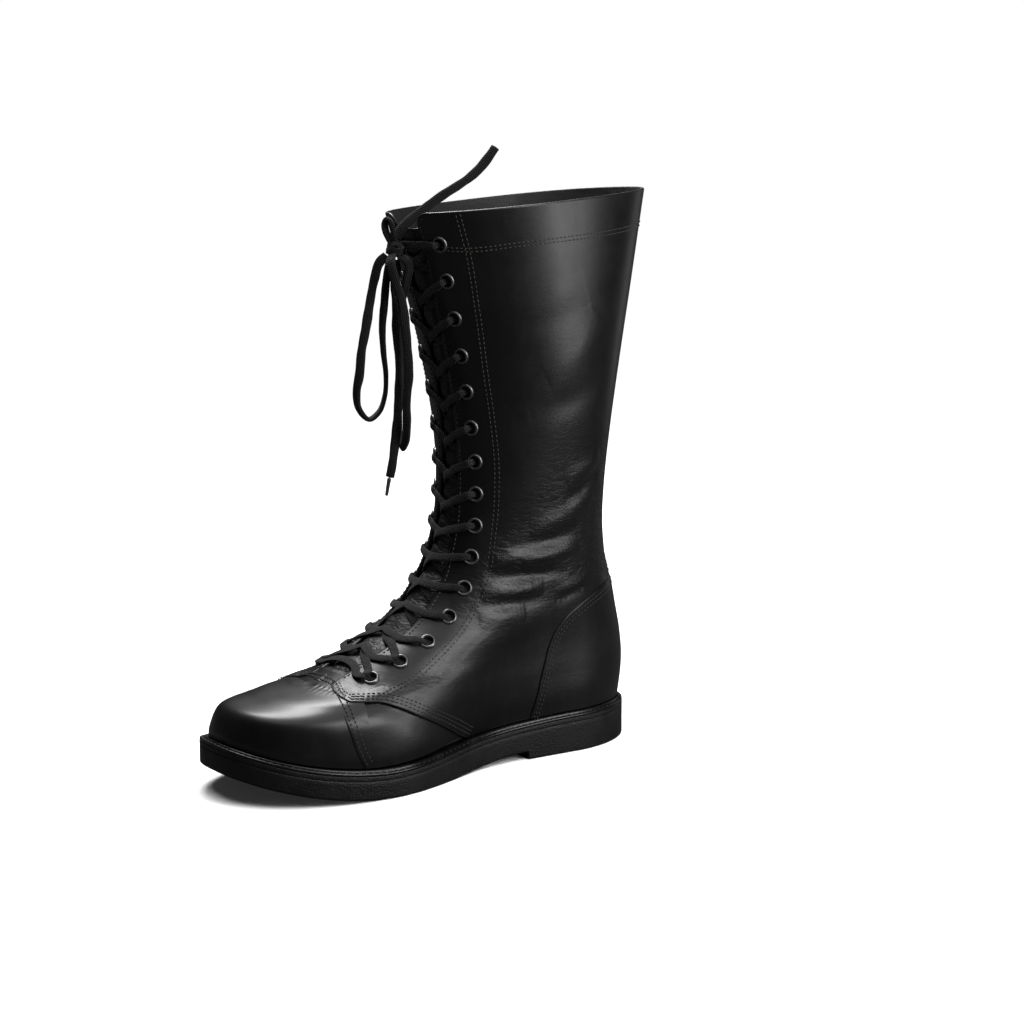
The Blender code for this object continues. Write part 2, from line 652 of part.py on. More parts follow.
def tube(name, points, radius, finish):
    curve = bpy.data.curves.new(name, "CURVE")
    curve.dimensions = "3D"
    curve.bevel_depth = radius * MM
    curve.bevel_resolution = 2
    curve.use_fill_caps = True
    spline = curve.splines.new("POLY")
    spline.points.add(len(points) - 1)
    for target, point in zip(spline.points, place(points)):
        target.co = (*point, 1.0)
    curve.materials.append(material(finish))
    bpy.context.collection.objects.link(bpy.data.objects.new(name, curve))


def make_loose_lace():
    """The knot, and the loops and ends that hang from it."""
    ball = bmesh.new()
    bmesh.ops.create_uvsphere(ball, u_segments=12, v_segments=8, radius=1.0)
    points = [np.array(vertex.co) * KNOT_RADII + KNOT_CENTRE for vertex in ball.verts]
    faces = [[vertex.index for vertex in face.verts] for face in ball.faces]
    ball.free()
    add_mesh("lace_knot", points, faces, "lace_fabric")
    for strand in LOOSE_LACE:
        route = [knot_exit(strand.leaves), *strand.points]
        if strand.returns:
            route.append(knot_exit(strand.returns))
        tube(strand.name, smooth_route(route, LOOSE_LACE_SPACING), LOOSE_LACE_RADIUS, "lace_fabric")
    tube("lace_aglet", AGLET, AGLET_RADIUS, "eyelet_metal")


def clear_scene():
    for old in list(bpy.data.objects):
        bpy.data.objects.remove(old)


def main():
    clear_scene()
    shape = UpperShape()
    make_outsole()
    make_welt()
    make_insole(shape)
    upper = make_upper(shape)
    make_tongue(shape)
    make_eyelets(shape, upper)
    make_crossings(shape)
    make_bars(shape)
    make_loose_lace()


main()
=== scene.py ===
"""Looks of the tall lace-up wrestling boot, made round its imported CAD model.

The tables and named sizes are in millimetres on the boot's own last, toe toward -Y
and medial side toward +X; place() takes them to the frame, in metres. A point on the
leather is given by up (0 at the sole, 1 at the collar) and round (0 at the front,
1 at the back on the medial side, -1 at the back on the lateral side).
"""

from collections import namedtuple

import bpy
import numpy as np
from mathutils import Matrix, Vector
from mathutils.kdtree import KDTree


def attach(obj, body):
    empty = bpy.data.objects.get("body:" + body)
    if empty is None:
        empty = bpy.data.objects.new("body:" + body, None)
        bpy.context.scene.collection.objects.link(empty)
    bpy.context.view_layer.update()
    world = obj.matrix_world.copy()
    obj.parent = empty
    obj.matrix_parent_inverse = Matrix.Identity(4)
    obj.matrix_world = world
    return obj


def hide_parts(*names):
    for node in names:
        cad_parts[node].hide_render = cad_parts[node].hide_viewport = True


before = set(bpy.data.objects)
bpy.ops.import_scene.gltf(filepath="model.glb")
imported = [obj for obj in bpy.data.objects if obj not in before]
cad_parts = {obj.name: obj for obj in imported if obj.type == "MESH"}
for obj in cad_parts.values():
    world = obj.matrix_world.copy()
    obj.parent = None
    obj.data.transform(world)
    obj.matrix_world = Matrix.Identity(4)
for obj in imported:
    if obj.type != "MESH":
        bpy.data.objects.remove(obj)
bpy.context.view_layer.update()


def table(columns, *rows):
    """Rows of a table, as tuples with named columns."""
    return [columns(*row) for row in rows]


MM = 0.001
CENTRE = (-0.06, 1.9, 0.0)  # the frame's origin in the tables' own millimetres
MEDIAL, LATERAL = 1, -1

# Camera, lights and floor
CAMERA_AZIMUTH, CAMERA_ELEVATION = 54.0, 8.7  # degrees, from the toe round to the medial side
CAMERA_DISTANCE, CAMERA_LOOK_AT = 1278.0, (1.0, 64.7, 153.1)
LENS, SENSOR = 70.3125, 36.0

# Sole, measured forward from the back of the heel
SOLE_LENGTH = 300.0
BALL_MEDIAL, BALL_LATERAL = 61.0, 59.0
HEEL_MEDIAL, HEEL_LATERAL = 39.5, 39.0
ARCH_HOLLOW = 10.5
TOE_LENGTH, TOE_POWER = 110.0, 2.5
HEEL_LENGTH, HEEL_POWER = 62.0, 1.95
TOE_SHIFT = -5.0
BALL_END, HEEL_START = 0.30, 0.80
WAIST_PLACE, WAIST_SPREAD = 0.55, 0.16
TOE_SPRING, SPRING_START = 18.0, 205.0
SOLE_AT_BALL, SOLE_AT_HEEL = 14.6, 22.7
WAIST_FRONT, WAIST_BACK = 217.0, 52.0
HEEL_BREAST, BREAST_SLOPE, BREAST_STEP = 97.0, 1.5, 5.0
WAIST_GROUND = 165.0
WELT_HEIGHT = 3.8
GAP = 0.3

# Upper
LACE_WIDTH = 5.2

Section = namedtuple(
    "Section",
    "front_y front_z back_y back_z ball_in ball_out heel_in heel_out waist_in waist_out"
    " toe_len heel_len toe_pow heel_pow toe_shift hug",
)
UPPER = table(
    Section,
    # front       back         ball        heel        waist    ends     powers      shift hug
    (-144.6, 36.7, 145.7, 26.8, 56.7, 54.7, 35.2, 34.7, 10.5, 0, 106, 58, 2.50, 1.95, -5.0, 1.0),
    (-144.3, 41.5, 147.5, 40.0, 57.0, 54.5, 36.0, 35.5, 9.0, 0, 104, 57, 2.45, 1.95, -5.0, 1.0),
    (-137.8, 56.0, 148.0, 55.0, 54.5, 52.5, 35.5, 35.5, 6.0, 0, 98, 55, 2.40, 2.00, -4.0, 0.8),
    (-118.0, 61.0, 146.5, 70.0, 49.5, 48.0, 35.0, 35.0, 4.0, 0, 90, 54, 2.30, 2.00, -3.0, 0.45),
    (-86.0, 63.5, 143.0, 86.0, 44.0, 43.5, 35.0, 35.0, 2.0, 0, 80, 53, 2.20, 2.00, -2.0, 0.15),
    (-54.0, 75.5, 139.0, 101.0, 40.5, 40.5, 35.5, 35.5, 0.0, 0, 74, 54, 2.20, 2.10, 0.0, 0.0),
    (-23.0, 94.5, 135.0, 115.0, 38.5, 38.5, 36.5, 36.5, 0.0, 0, 70, 57, 2.20, 2.10, 0.0, 0.0),
    (-1.0, 119.0, 131.5, 129.0, 38.5, 38.5, 38.5, 38.5, 0.0, 0, 66, 66, 2.30, 2.30, 0.0, 0.0),
    (11.0, 147.0, 129.0, 147.0, 39.5, 39.5, 39.5, 39.5, 0.0, 0, 59, 59, 2.30, 2.30, 0.0, 0.0),
    (16.0, 177.0, 128.5, 173.0, 43.0, 43.0, 43.0, 43.0, 0.0, 0, 56, 56, 2.30, 2.30, 0.0, 0.0),
    (15.5, 212.0, 130.5, 207.0, 48.5, 48.5, 48.5, 48.5, 0.0, 0, 58, 58, 2.30, 2.30, 0.0, 0.0),
    (9.0, 252.0, 136.0, 251.0, 54.0, 54.0, 54.0, 54.0, 0.0, 0, 64, 64, 2.30, 2.30, 0.0, 0.0),
    (-2.5, 295.0, 144.0, 300.0, 58.5, 58.5, 58.5, 58.5, 0.0, 0, 73, 73, 2.30, 2.30, 0.0, 0.0),
    (-16.0, 341.0, 153.5, 358.0, 61.0, 61.0, 61.0, 61.0, 0.0, 0, 85, 85, 2.40, 2.40, 0.0, 0.0),
)
Eyelet = namedtuple("Eyelet", "along step")
EYELETS = table(
    Eyelet,  # top to bottom: length up the front from the feather line, and step behind the facing's edge
    (388.0, 13.2), (365.5, 13.0), (342.0, 13.0), (318.5, 13.0), (296.0, 12.8), (273.5, 12.6),
    (252.5, 12.6), (232.5, 12.2), (212.5, 12.0), (192.0, 11.8), (169.5, 11.6), (145.5, 11.8),
    (121.0, 14.0), (101.0, 16.0), (84.6, 15.2),
)
EYELET_ROWS = len(EYELETS)
Gap = namedtuple("Gap", "along half")
THROAT = table(
    Gap,  # length up the front, and half the gap between the facings
    (0, 11.0), (84, 13.4), (101, 14.2), (119, 16.2), (133, 16.8), (147, 16.5), (170, 15.2), (193, 12.6),
    (213, 11.1), (233, 10.0), (253, 9.2), (274, 8.3), (296, 8.0), (318, 8.7), (342, 9.9), (366, 11.0),
    (388, 12.1), (422, 13.4),
)

# Lines on the leather
Mark = namedtuple("Mark", "up round")
VAMP_SEAM = table(
    Mark,
    (0.0, 0.540), (0.039, 0.461), (0.0710, 0.3787), (0.0995, 0.3085), (0.1207, 0.2459), (0.1256, 0.2122),
    (0.1306, 0.1798),
)
FLAP_CORNER, FLAP_TIP = Mark(0.1894, 0.0600), Mark(0.1955, 0.0555)  # ends of the flap's slanted front
TOE_CAP_LINE = table(
    Mark,
    (0.0, 0.288), (0.035, 0.266), (0.063, 0.242), (0.086, 0.217), (0.125, 0.164), (0.166, 0.098),
    (0.188, 0.048), (0.193, 0.0),
)
COUNTER_LINE = table(
    Mark,
    (0.0, 0.690), (0.045, 0.696), (0.088, 0.694), (0.136, 0.684), (0.190, 0.678), (0.224, 0.692),
    (0.248, 0.727), (0.265, 0.780), (0.277, 0.850), (0.284, 0.920), (0.286, 1.0),
)
FACING_STITCH = table(
    Mark,
    (0.1328, 0.2366), (0.1619, 0.2507), (0.1887, 0.2681), (0.216, 0.2700), (0.248, 0.272),
    (0.321, 0.263), (0.370, 0.252), (0.445, 0.235), (0.509, 0.229), (0.561, 0.222), (0.632, 0.207),
    (0.709, 0.195), (0.816, 0.192), (0.929, 0.188), (0.998, 0.177),
)
COLLAR_STITCH = table(
    Mark,
    (0.936, 0.115), (0.932, 0.190), (0.936, 0.320), (0.939, 0.487), (0.941, 0.618), (0.946, 0.790),
    (0.948, 1.0),
)


# ---------------------------------------------------------------- curves and rings

def place(points):
    """Table millimetres to the frame's metres."""
    return (np.asarray(points, float) - CENTRE) * MM


def smooth_step(low, high, value):
    u = np.clip((value - low) / (high - low), 0.0, 1.0)
    return u * u * (3.0 - 2.0 * u)


def hermite(knots, rows, at):
    """Rows of a table at places between its knots, on one smooth curve."""
    slopes = np.gradient(rows, knots, axis=0)
    i = np.clip(np.searchsorted(knots, at, side="right") - 1, 0, len(knots) - 2)
    span = (knots[i + 1] - knots[i])[:, None]
    u = (at[:, None] - knots[i][:, None]) / span
    start = (1 + 2 * u) * (1 - u) ** 2 * rows[i] + u * (1 - u) ** 2 * span * slopes[i]
    end = u * u * (3 - 2 * u) * rows[i + 1] - u * u * (1 - u) * span * slopes[i + 1]
    return start + end


def running_length(points):
    return np.r_[0.0, np.cumsum(np.linalg.norm(np.diff(points, axis=0), axis=1))]


def between(at, knots, rows):
    """Rows of a table at places between its knots, on straight lines."""
    return np.stack([np.interp(at, knots, column) for column in rows.T], axis=1)


def unit(vectors):
    return vectors / np.maximum(np.linalg.norm(vectors, axis=-1, keepdims=True), 1e-12)


def smooth_route(points, spacing):
    """Points evenly along one smooth curve through the route's points."""
    route = np.array(points, float)
    knots = running_length(route)
    count = max(3, round(knots[-1] / spacing) + 1)
    return hermite(knots, route, np.linspace(0.0, knots[-1], count))


def evenly(points, spacing):
    """The same line with its points evenly spaced."""
    length = running_length(points)
    count = max(2, round(length[-1] / spacing) + 1)
    return between(np.linspace(0.0, length[-1], count), length, points)


def round_end(distance, length, power):
    near = np.clip(distance / length, 0.0, 1.0)
    return (1.0 - (1.0 - near) ** power) ** (1.0 / power)


def spring(t):
    return TOE_SPRING * np.clip((t - SPRING_START) / (SOLE_LENGTH - SPRING_START), 0.0, 1.1) ** 2


def sole_top(t):
    climb = 1.0 - smooth_step(WAIST_BACK, WAIST_FRONT, t)
    return spring(t) + SOLE_AT_BALL + (SOLE_AT_HEEL - SOLE_AT_BALL) * climb


def sole_bottom(t):
    front = 1.0 - smooth_step(HEEL_BREAST, WAIST_GROUND, t)
    back = smooth_step(HEEL_BREAST, HEEL_BREAST + BREAST_SLOPE, t)
    return spring(t) + BREAST_STEP * front * back


def feather_height(t):
    return sole_top(t) + WELT_HEIGHT


def half_width(section, s, side, length):
    """From the centre line to the side, at part s of the way from front to back."""
    ball, heel, waist = (
        (section.ball_in, section.heel_in, section.waist_in)
        if side == MEDIAL
        else (section.ball_out, section.heel_out, section.waist_out)
    )
    width = heel + (ball - heel) * (1.0 - smooth_step(BALL_END, HEEL_START, s))
    width = width - waist * np.exp(-(((s - WAIST_PLACE) / WAIST_SPREAD) ** 2))
    front = round_end(s * length, section.toe_len, section.toe_pow)
    return width * front * round_end((1.0 - s) * length, section.heel_len, section.heel_pow)


def ring_points(section, s, side):
    """Points of one side of a ring, at parts s of the way from front to back."""
    y = section.front_y + (section.back_y - section.front_y) * s
    z = section.front_z + (section.back_z - section.front_z) * s
    length = np.hypot(section.back_y - section.front_y, section.back_z - section.front_z)
    t = SOLE_LENGTH / 2 - y
    flat = UPPER[0].front_z + (UPPER[0].back_z - UPPER[0].front_z) * s
    z = z + section.hug * (feather_height(t) + GAP - flat)
    x = section.toe_shift * (1.0 - s) ** 2 + side * half_width(section, s, side, length)
    return np.stack([x, y, z], axis=-1)


class Skin:
    """The leather's outside as a fine table of points and outward normals."""

    ROWS, COLUMNS, SAMPLES = 561, 601, 721

    def __init__(self):
        rows = np.array(UPPER, float)
        front, back = rows[:, 0:2], rows[:, 2:4]
        knots = (running_length(front) + running_length(back)) / 2
        self.up = np.linspace(0.0, 1.0, self.ROWS)
        table = hermite(knots / knots[-1], rows, self.up)
        self.along = running_length(table[:, 0:2])
        self.half_gap = np.interp(self.along, [g.along for g in THROAT], [g.half for g in THROAT])
        s = 0.5 - 0.5 * np.cos(np.linspace(0.0, np.pi, self.SAMPLES))
        part = np.linspace(0.0, 1.0, self.COLUMNS)
        halves = {side: np.zeros((self.ROWS, self.COLUMNS, 3)) for side in (MEDIAL, LATERAL)}
        for side, grid in halves.items():
            for r, row in enumerate(table):
                ring = ring_points(Section(*row), s, side)
                arc = running_length(ring)
                for c in range(3):
                    grid[r, :, c] = np.interp(part * arc[-1], arc, ring[:, c])
        self.halves = halves
        self.centre_x = table[:, Section._fields.index("toe_shift")]
        self.points = np.concatenate([halves[LATERAL][:, :0:-1], halves[MEDIAL]], axis=1)
        self.up_slope = np.gradient(self.points, self.up, axis=0)
        self.round_slope = np.gradient(self.points, np.r_[-part[:0:-1], part], axis=1)
        self.normals = unit(np.cross(self.round_slope, self.up_slope))

    def read(self, table, up, around):
        r = np.clip(np.asarray(up, float), 0.0, 1.0) * (table.shape[0] - 1)
        c = (np.clip(np.asarray(around, float), -1.0, 1.0) + 1.0) / 2.0 * (table.shape[1] - 1)
        r0 = np.clip(r.astype(int), 0, table.shape[0] - 2)
        c0 = np.clip(c.astype(int), 0, table.shape[1] - 2)
        fr, fc = (r - r0)[..., None], (c - c0)[..., None]
        low = table[r0, c0] * (1 - fr) + table[r0 + 1, c0] * fr
        high = table[r0, c0 + 1] * (1 - fr) + table[r0 + 1, c0 + 1] * fr
        return low * (1 - fc) + high * fc

    def at(self, up, around):
        return self.read(self.points, up, around)

    def out(self, up, around):
        return unit(self.read(self.normals, up, around))

    def up_at(self, along):
        return np.interp(along, self.along, self.up)

    def eyelet_up(self, row):
        return float(self.up_at(EYELETS[row].along))

    def eyelet_round(self, row):
        return self.facing_round(self.eyelet_up(row), EYELETS[row].step)

    def facing_round(self, up, step):
        """round of the place step behind the facing's front edge; below 0, over the throat."""
        r = int(round(float(up) * (self.ROWS - 1)))
        half = self.halves[MEDIAL][r]
        out = np.abs(half[:, 0] - self.centre_x[r])
        widest = int(np.argmax(out))
        part = np.linspace(0.0, 1.0, self.COLUMNS)
        return float(np.interp(self.half_gap[r] + step, out[: widest + 1], part[: widest + 1]))

    def shift(self, line, sideways):
        """A line of (up, round) moved over the leather, to its left seen from outside."""
        points = self.at(line[:, 0], line[:, 1])
        ahead = unit(np.gradient(points, axis=0))
        left = np.cross(self.out(line[:, 0], line[:, 1]), ahead) * np.reshape(sideways, (-1, 1))
        a, b = self.read(self.up_slope, *line.T), self.read(self.round_slope, *line.T)
        aa, bb, ab = (a * a).sum(1), (b * b).sum(1), (a * b).sum(1)
        wa, wb = (left * a).sum(1), (left * b).sum(1)
        scale = aa * bb - ab * ab
        return line + np.stack([(wa * bb - wb * ab) / scale, (wb * aa - wa * ab) / scale], axis=1)


UP_MM, TRACE_MM, SADDLE_MM = 400.0, 200.0, 280.0  # about how far up and round run, to weigh one by the other
COUNTER_MM, COLLAR_MM = 250.0, 239.0


def trace(marks, side=MEDIAL, spacing=1.0):
    """A smooth, dense line of (up, round) through marks, on one side."""
    line = np.array(marks)
    knots = running_length(line * (UP_MM, TRACE_MM))
    dense = hermite(knots, line, np.linspace(0.0, knots[-1], max(2, int(knots[-1] / spacing))))
    return dense * (1, side)


# ---------------------------------------------------------------- creases

Crease = namedtuple("Crease", "height width marks")
CREASES = table(
    Crease,  # height over the leather (below 0, a trough), width, and the line of (up, round) that it follows
    (1.9, 7.0, [(0.400, 0.240), (0.402, 0.330), (0.399, 0.430), (0.400, 0.530), (0.408, 0.640)]),
    (-1.5, 5.5, [(0.380, 0.235), (0.374, 0.330), (0.367, 0.430), (0.361, 0.540), (0.356, 0.620)]),
    (1.5, 6.5, [(0.352, 0.250), (0.346, 0.340), (0.341, 0.420), (0.337, 0.520)]),
    (-0.9, 6.0, [(0.326, 0.270), (0.318, 0.360), (0.311, 0.460), (0.305, 0.560)]),
    (1.0, 9.0, [(0.300, 0.300), (0.290, 0.400), (0.282, 0.500)]),
    (-1.0, 6.0, [(0.421, 0.300), (0.424, 0.400), (0.428, 0.520), (0.440, 0.640)]),
    (1.1, 9.0, [(0.446, 0.380), (0.456, 0.480), (0.476, 0.590), (0.502, 0.700)]),
    (-1.2, 6.0, [(0.490, 0.520), (0.507, 0.600), (0.530, 0.670), (0.560, 0.790)]),
    (1.0, 8.5, [(0.522, 0.520), (0.545, 0.610), (0.572, 0.700)]),
    (-0.8, 5.0, [(0.284, 0.600), (0.292, 0.650), (0.300, 0.720)]),
    (0.9, 6.0, [(0.305, 0.590), (0.315, 0.660), (0.325, 0.740)]),
    (-0.7, 12.0, [(0.640, 0.330), (0.660, 0.480), (0.690, 0.640)]),
    (0.7, 16.0, [(0.700, 0.400), (0.740, 0.520), (0.800, 0.620)]),
    (-0.5, 14.0, [(0.790, 0.300), (0.800, 0.420), (0.830, 0.560)]),
)
# the same boot's outer side has folded in its own way: moved and weakened a little
OUTER_SIDE_SHIFT, OUTER_SIDE_SCALE = (0.012, 0.02), 0.9
VAMP_CREASES = table(
    Crease,
    (-0.55, 2.2, [(0.160, 0.169), (0.172, 0.110), (0.181, 0.045), (0.181, -0.045),
                (0.172, -0.110), (0.160, -0.169)]),
    (0.35, 3.0, [(0.142, 0.211), (0.157, 0.137), (0.170, 0.050), (0.170, -0.050),
                (0.157, -0.137), (0.142, -0.211)]),
    (-0.40, 2.6, [(0.113, 0.305), (0.124, 0.253), (0.133, 0.214)]),
    (-0.40, 2.6, [(0.113, -0.305), (0.124, -0.253), (0.133, -0.214)]),
)
CREASE_REACH = 3.0  # widths beyond which a crease does nothing
FADE_POWER = 0.7  # below 1, a crease keeps more of its depth toward its ends
AT_ONCE = 4000  # points compared with a crease in one table


class Relief:
    """Soft troughs and ridges in the leather, as heights at any of its points."""

    def __init__(self, skin):
        self.lines = []
        for crease in CREASES:
            marks = np.array(crease.marks)
            self.add(skin, crease, marks, MEDIAL, 1.0)
            self.add(skin, crease, marks + OUTER_SIDE_SHIFT, LATERAL, OUTER_SIDE_SCALE)
        for crease in VAMP_CREASES:
            self.add(skin, crease, np.array(crease.marks), MEDIAL, 1.0)

    def add(self, skin, crease, marks, side, scale):
        line = trace(marks, side, 3.0)
        fade = np.sin(np.pi * np.linspace(0.0, 1.0, len(line))) ** FADE_POWER
        self.lines.append((skin.at(*line.T), fade * crease.height * scale, crease.width))

    def height(self, points):
        """Height over the plain form at points, (n, 3)."""
        total = np.zeros(len(points))
        for line, heights, width in self.lines:
            reach = CREASE_REACH * width
            inside = (points > line.min(axis=0) - reach) & (points < line.max(axis=0) + reach)
            near = np.flatnonzero(inside.all(axis=1))
            for part in np.array_split(near, max(1, len(near) // AT_ONCE)):
                if len(part):
                    gap = ((points[part][:, None] - line[None]) ** 2).sum(axis=2)
                    k = gap.argmin(axis=1)
                    nearest = gap[np.arange(len(part)), k]
                    total[part] += heights[k] * np.exp(-nearest / (width * width / 2))
        return total


skin = Skin()
relief = Relief(skin)


def leather(up, around, height):
    """Points over the leather at a height, its troughs and ridges included."""
    up, around = np.broadcast_arrays(np.asarray(up, float), np.asarray(around, float))
    base = skin.at(up, around)
    bumps = relief.height(base.reshape(-1, 3)).reshape(up.shape)
    return base + skin.out(up, around) * (height + bumps)[..., None]


# ---------------------------------------------------------------- materials

def new_material(name, colour, roughness, metallic=0.0):
    made = bpy.data.materials.new(name)
    made.use_nodes = True
    graph = Graph(made.node_tree)
    shader = made.node_tree.nodes["Principled BSDF"]
    graph.fill(shader, {"Base Color": (*colour, 1.0), "Roughness": roughness, "Metallic": metallic})
    return made, graph, shader


class Graph:
    """Short calls for building a material's nodes."""

    def __init__(self, tree):
        self.tree = tree
        self.coords = tree.nodes.new("ShaderNodeTexCoord").outputs["Object"]

    def fill(self, node, inputs):
        """Sets each named or numbered input to a value, or links it to another node's output."""
        for name, value in inputs.items():
            if isinstance(value, bpy.types.NodeSocket):
                self.tree.links.new(value, node.inputs[name])
            else:
                node.inputs[name].default_value = value

    def node(self, kind, output, inputs, **settings):
        """One output of a new node."""
        made = self.tree.nodes.new("ShaderNode" + kind)
        for name, value in settings.items():
            setattr(made, name, value)
        self.fill(made, inputs)
        return made.outputs[output]

    def noise(self, scale, detail=3.0, rough=0.5, coords=None, distortion=0.0):
        inputs = {"Scale": scale, "Detail": detail, "Roughness": rough, "Distortion": distortion}
        return self.node("TexNoise", "Fac", {**inputs, "Vector": coords or self.coords})

    def cells(self, scale):
        return self.node("TexVoronoi", "Distance", {"Scale": scale, "Vector": self.coords})

    def stretched(self, scale):
        return self.node("Mapping", "Vector", {"Scale": scale, "Vector": self.coords})

    def attribute(self, name):
        return self.node("Attribute", "Fac", {}, attribute_name=name)

    def remap(self, value, low, high, to_low=0.0, to_high=1.0):
        inputs = {"From Min": low, "From Max": high, "To Min": to_low, "To Max": to_high, "Value": value}
        return self.node("MapRange", "Result", inputs, interpolation_type="SMOOTHSTEP")

    def maths(self, operation, a, b=0.0):
        return self.node("Math", 0, {0: a, 1: b}, operation=operation)

    def blend(self, a, b, part):
        """Two values added up, the second by a part and the first by the rest."""
        return self.maths("ADD", self.maths("MULTIPLY", a, 1.0 - part), self.maths("MULTIPLY", b, part))

    def mix(self, factor, a, b):
        """Of two colours, each a tuple or another node's output."""
        a, b = ((*c, 1.0) if isinstance(c, tuple) else c for c in (a, b))
        return self.node("Mix", 2, {0: factor, 6: a, 7: b}, data_type="RGBA")

    def bump(self, height, strength, distance, under=None):
        inputs = {"Strength": strength, "Distance": distance, "Height": height}
        return self.node("Bump", "Normal", {**inputs, "Normal": under} if under else inputs)


def leather_material(name, colour, worn, rough_low, rough_high, grain, wrinkles):
    """Smooth dyed leather: fine grain, soft wrinkles where it flexes, and a worn, uneven gloss."""
    made, g, shader = new_material(name, colour, 0.4)
    streak = g.noise(160.0, 3.0, 0.6, g.stretched((1.0, 1.0, 0.35)))
    smear = g.blend(g.noise(34.0, 4.0, 0.6), streak, 0.35)
    creased = g.noise(230.0, 4.0, 0.55, g.stretched((0.55, 0.55, 1.6)), 0.6)
    folds = g.maths("MULTIPLY", g.remap(creased, 0.36, 0.62), g.attribute("flex"))
    normal = g.bump(g.remap(g.cells(1150.0), 0.0, 0.55), grain, 0.00010)
    normal = g.bump(g.noise(2600.0, 2.0, 0.5), grain * 0.5, 0.00006, normal)
    g.fill(shader, {
        "Base Color": g.mix(g.remap(smear, 0.40, 0.68), colour, worn),
        "Roughness": g.remap(smear, 0.30, 0.72, rough_low, rough_high),
        "Normal": g.bump(folds, wrinkles, 0.00045, normal),
        "Specular IOR Level": 0.5, "Coat Weight": 0.10, "Coat Roughness": 0.2,
    })
    return made


def rubber_material(name, colour, dust, roughness, grain_scale, grain):
    made, g, shader = new_material(name, colour, roughness)
    cloud = g.noise(60.0, 5.0, 0.65)
    pebble = g.bump(g.remap(g.cells(grain_scale), 0.0, 0.6), grain, 0.00018)
    g.fill(shader, {
        "Base Color": g.mix(g.remap(cloud, 0.40, 0.72), colour, dust),
        "Roughness": g.remap(cloud, 0.3, 0.7, roughness - 0.07, roughness + 0.09),
        "Normal": g.bump(g.noise(900.0, 3.0, 0.6), 0.35, 0.00008, pebble),
    })
    return made


def metal_material(name, colour, bare, roughness):
    """Black enamel, worn through here and there."""
    made, g, shader = new_material(name, colour, roughness, 0.3)
    wear = g.noise(700.0, 4.0, 0.6)
    g.fill(shader, {
        "Base Color": g.mix(g.remap(wear, 0.52, 0.75), colour, bare),
        "Roughness": g.remap(wear, 0.3, 0.7, roughness - 0.05, roughness + 0.12),
        "Normal": g.bump(g.noise(1500.0, 3.0), 0.2, 0.00004),
        "IOR": 2.6, "Coat Weight": 0.8, "Coat Roughness": 0.10,
    })
    return made


def woven_material(name, colour, lint, paler, pick=4.8):
    """Flat braid: yarns that cross in a herringbone, matte with a little lint, and paler
    by the times given where the mesh's flex is 1."""
    made, g, shader = new_material(name, colour, 0.82)
    uv = g.node("UVMap", "UV", {})
    along, across = (g.node("SeparateXYZ", k, {0: uv}) for k in (0, 1))
    slant = g.maths("ABSOLUTE", g.maths("SUBTRACT", across, 0.5))
    rise = g.maths("SINE", g.maths("ADD", g.maths("MULTIPLY", along, pick), g.maths("MULTIPLY", slant, 11.0)))
    weave = g.blend(rise, g.maths("SINE", g.maths("MULTIPLY", across, 34.0)), 0.4)
    fuzz = g.noise(2400.0, 3.0, 0.7)
    lint_there = g.remap(fuzz, 0.42, 0.70)
    plain_tone = g.mix(lint_there, colour, lint)
    paler_tone = g.mix(lint_there, tuple(paler * c for c in colour), tuple(paler * c for c in lint))
    g.fill(shader, {
        "Base Color": g.mix(g.attribute("flex"), plain_tone, paler_tone),
        "Roughness": g.remap(fuzz, 0.3, 0.7, 0.72, 0.92),
        "Normal": g.bump(fuzz, 0.5, 0.00010, g.bump(weave, 0.9, 0.00030)),
        "Specular IOR Level": 0.25, "Sheen Weight": 0.12, "Sheen Roughness": 0.5,
    })
    return made


def thread_material(name, colour, dark):
    made, g, shader = new_material(name, colour, 0.6)
    twist = g.noise(3000.0, 2.0, 0.5)
    g.fill(shader, {
        "Base Color": g.mix(g.remap(twist, 0.35, 0.65), dark, colour),
        "Roughness": g.remap(twist, 0.3, 0.7, 0.45, 0.7),
        "Normal": g.bump(twist, 0.6, 0.00008),
    })
    return made


def grey(value):
    return (value, value, value)


BLACK, WORN = grey(0.0034), (0.0065, 0.0063, 0.0061)
# leather: colour, colour where it is worn, roughness from and to, grain, wrinkles
UPPER_LEATHER = leather_material("upper_leather", BLACK, WORN, 0.34, 0.42, 0.14, 0.35)
TOE_LEATHER = leather_material("toe_leather", BLACK, WORN, 0.33, 0.40, 0.10, 0.2)
TONGUE_LEATHER = leather_material("tongue_leather", BLACK, (0.013, 0.0125, 0.012), 0.42, 0.56, 0.4, 1.0)
LINING_LEATHER = leather_material(
    "lining_leather", (0.016, 0.0155, 0.015), (0.026, 0.025, 0.024), 0.60, 0.78, 0.5, 0.5
)
# darker and duller than the upper: partly the cut edge's dye, partly painted shadow along the flap's edge
EDGE_DYE_AND_SHADOW = leather_material("edge_dye_and_shadow", grey(0.0018), grey(0.0035), 0.72, 0.85, 0.5, 0.2)
INSOLE_BOARD = leather_material(
    "insole_lining", (0.020, 0.019, 0.018), (0.034, 0.032, 0.030), 0.65, 0.85, 0.6, 0.3
)
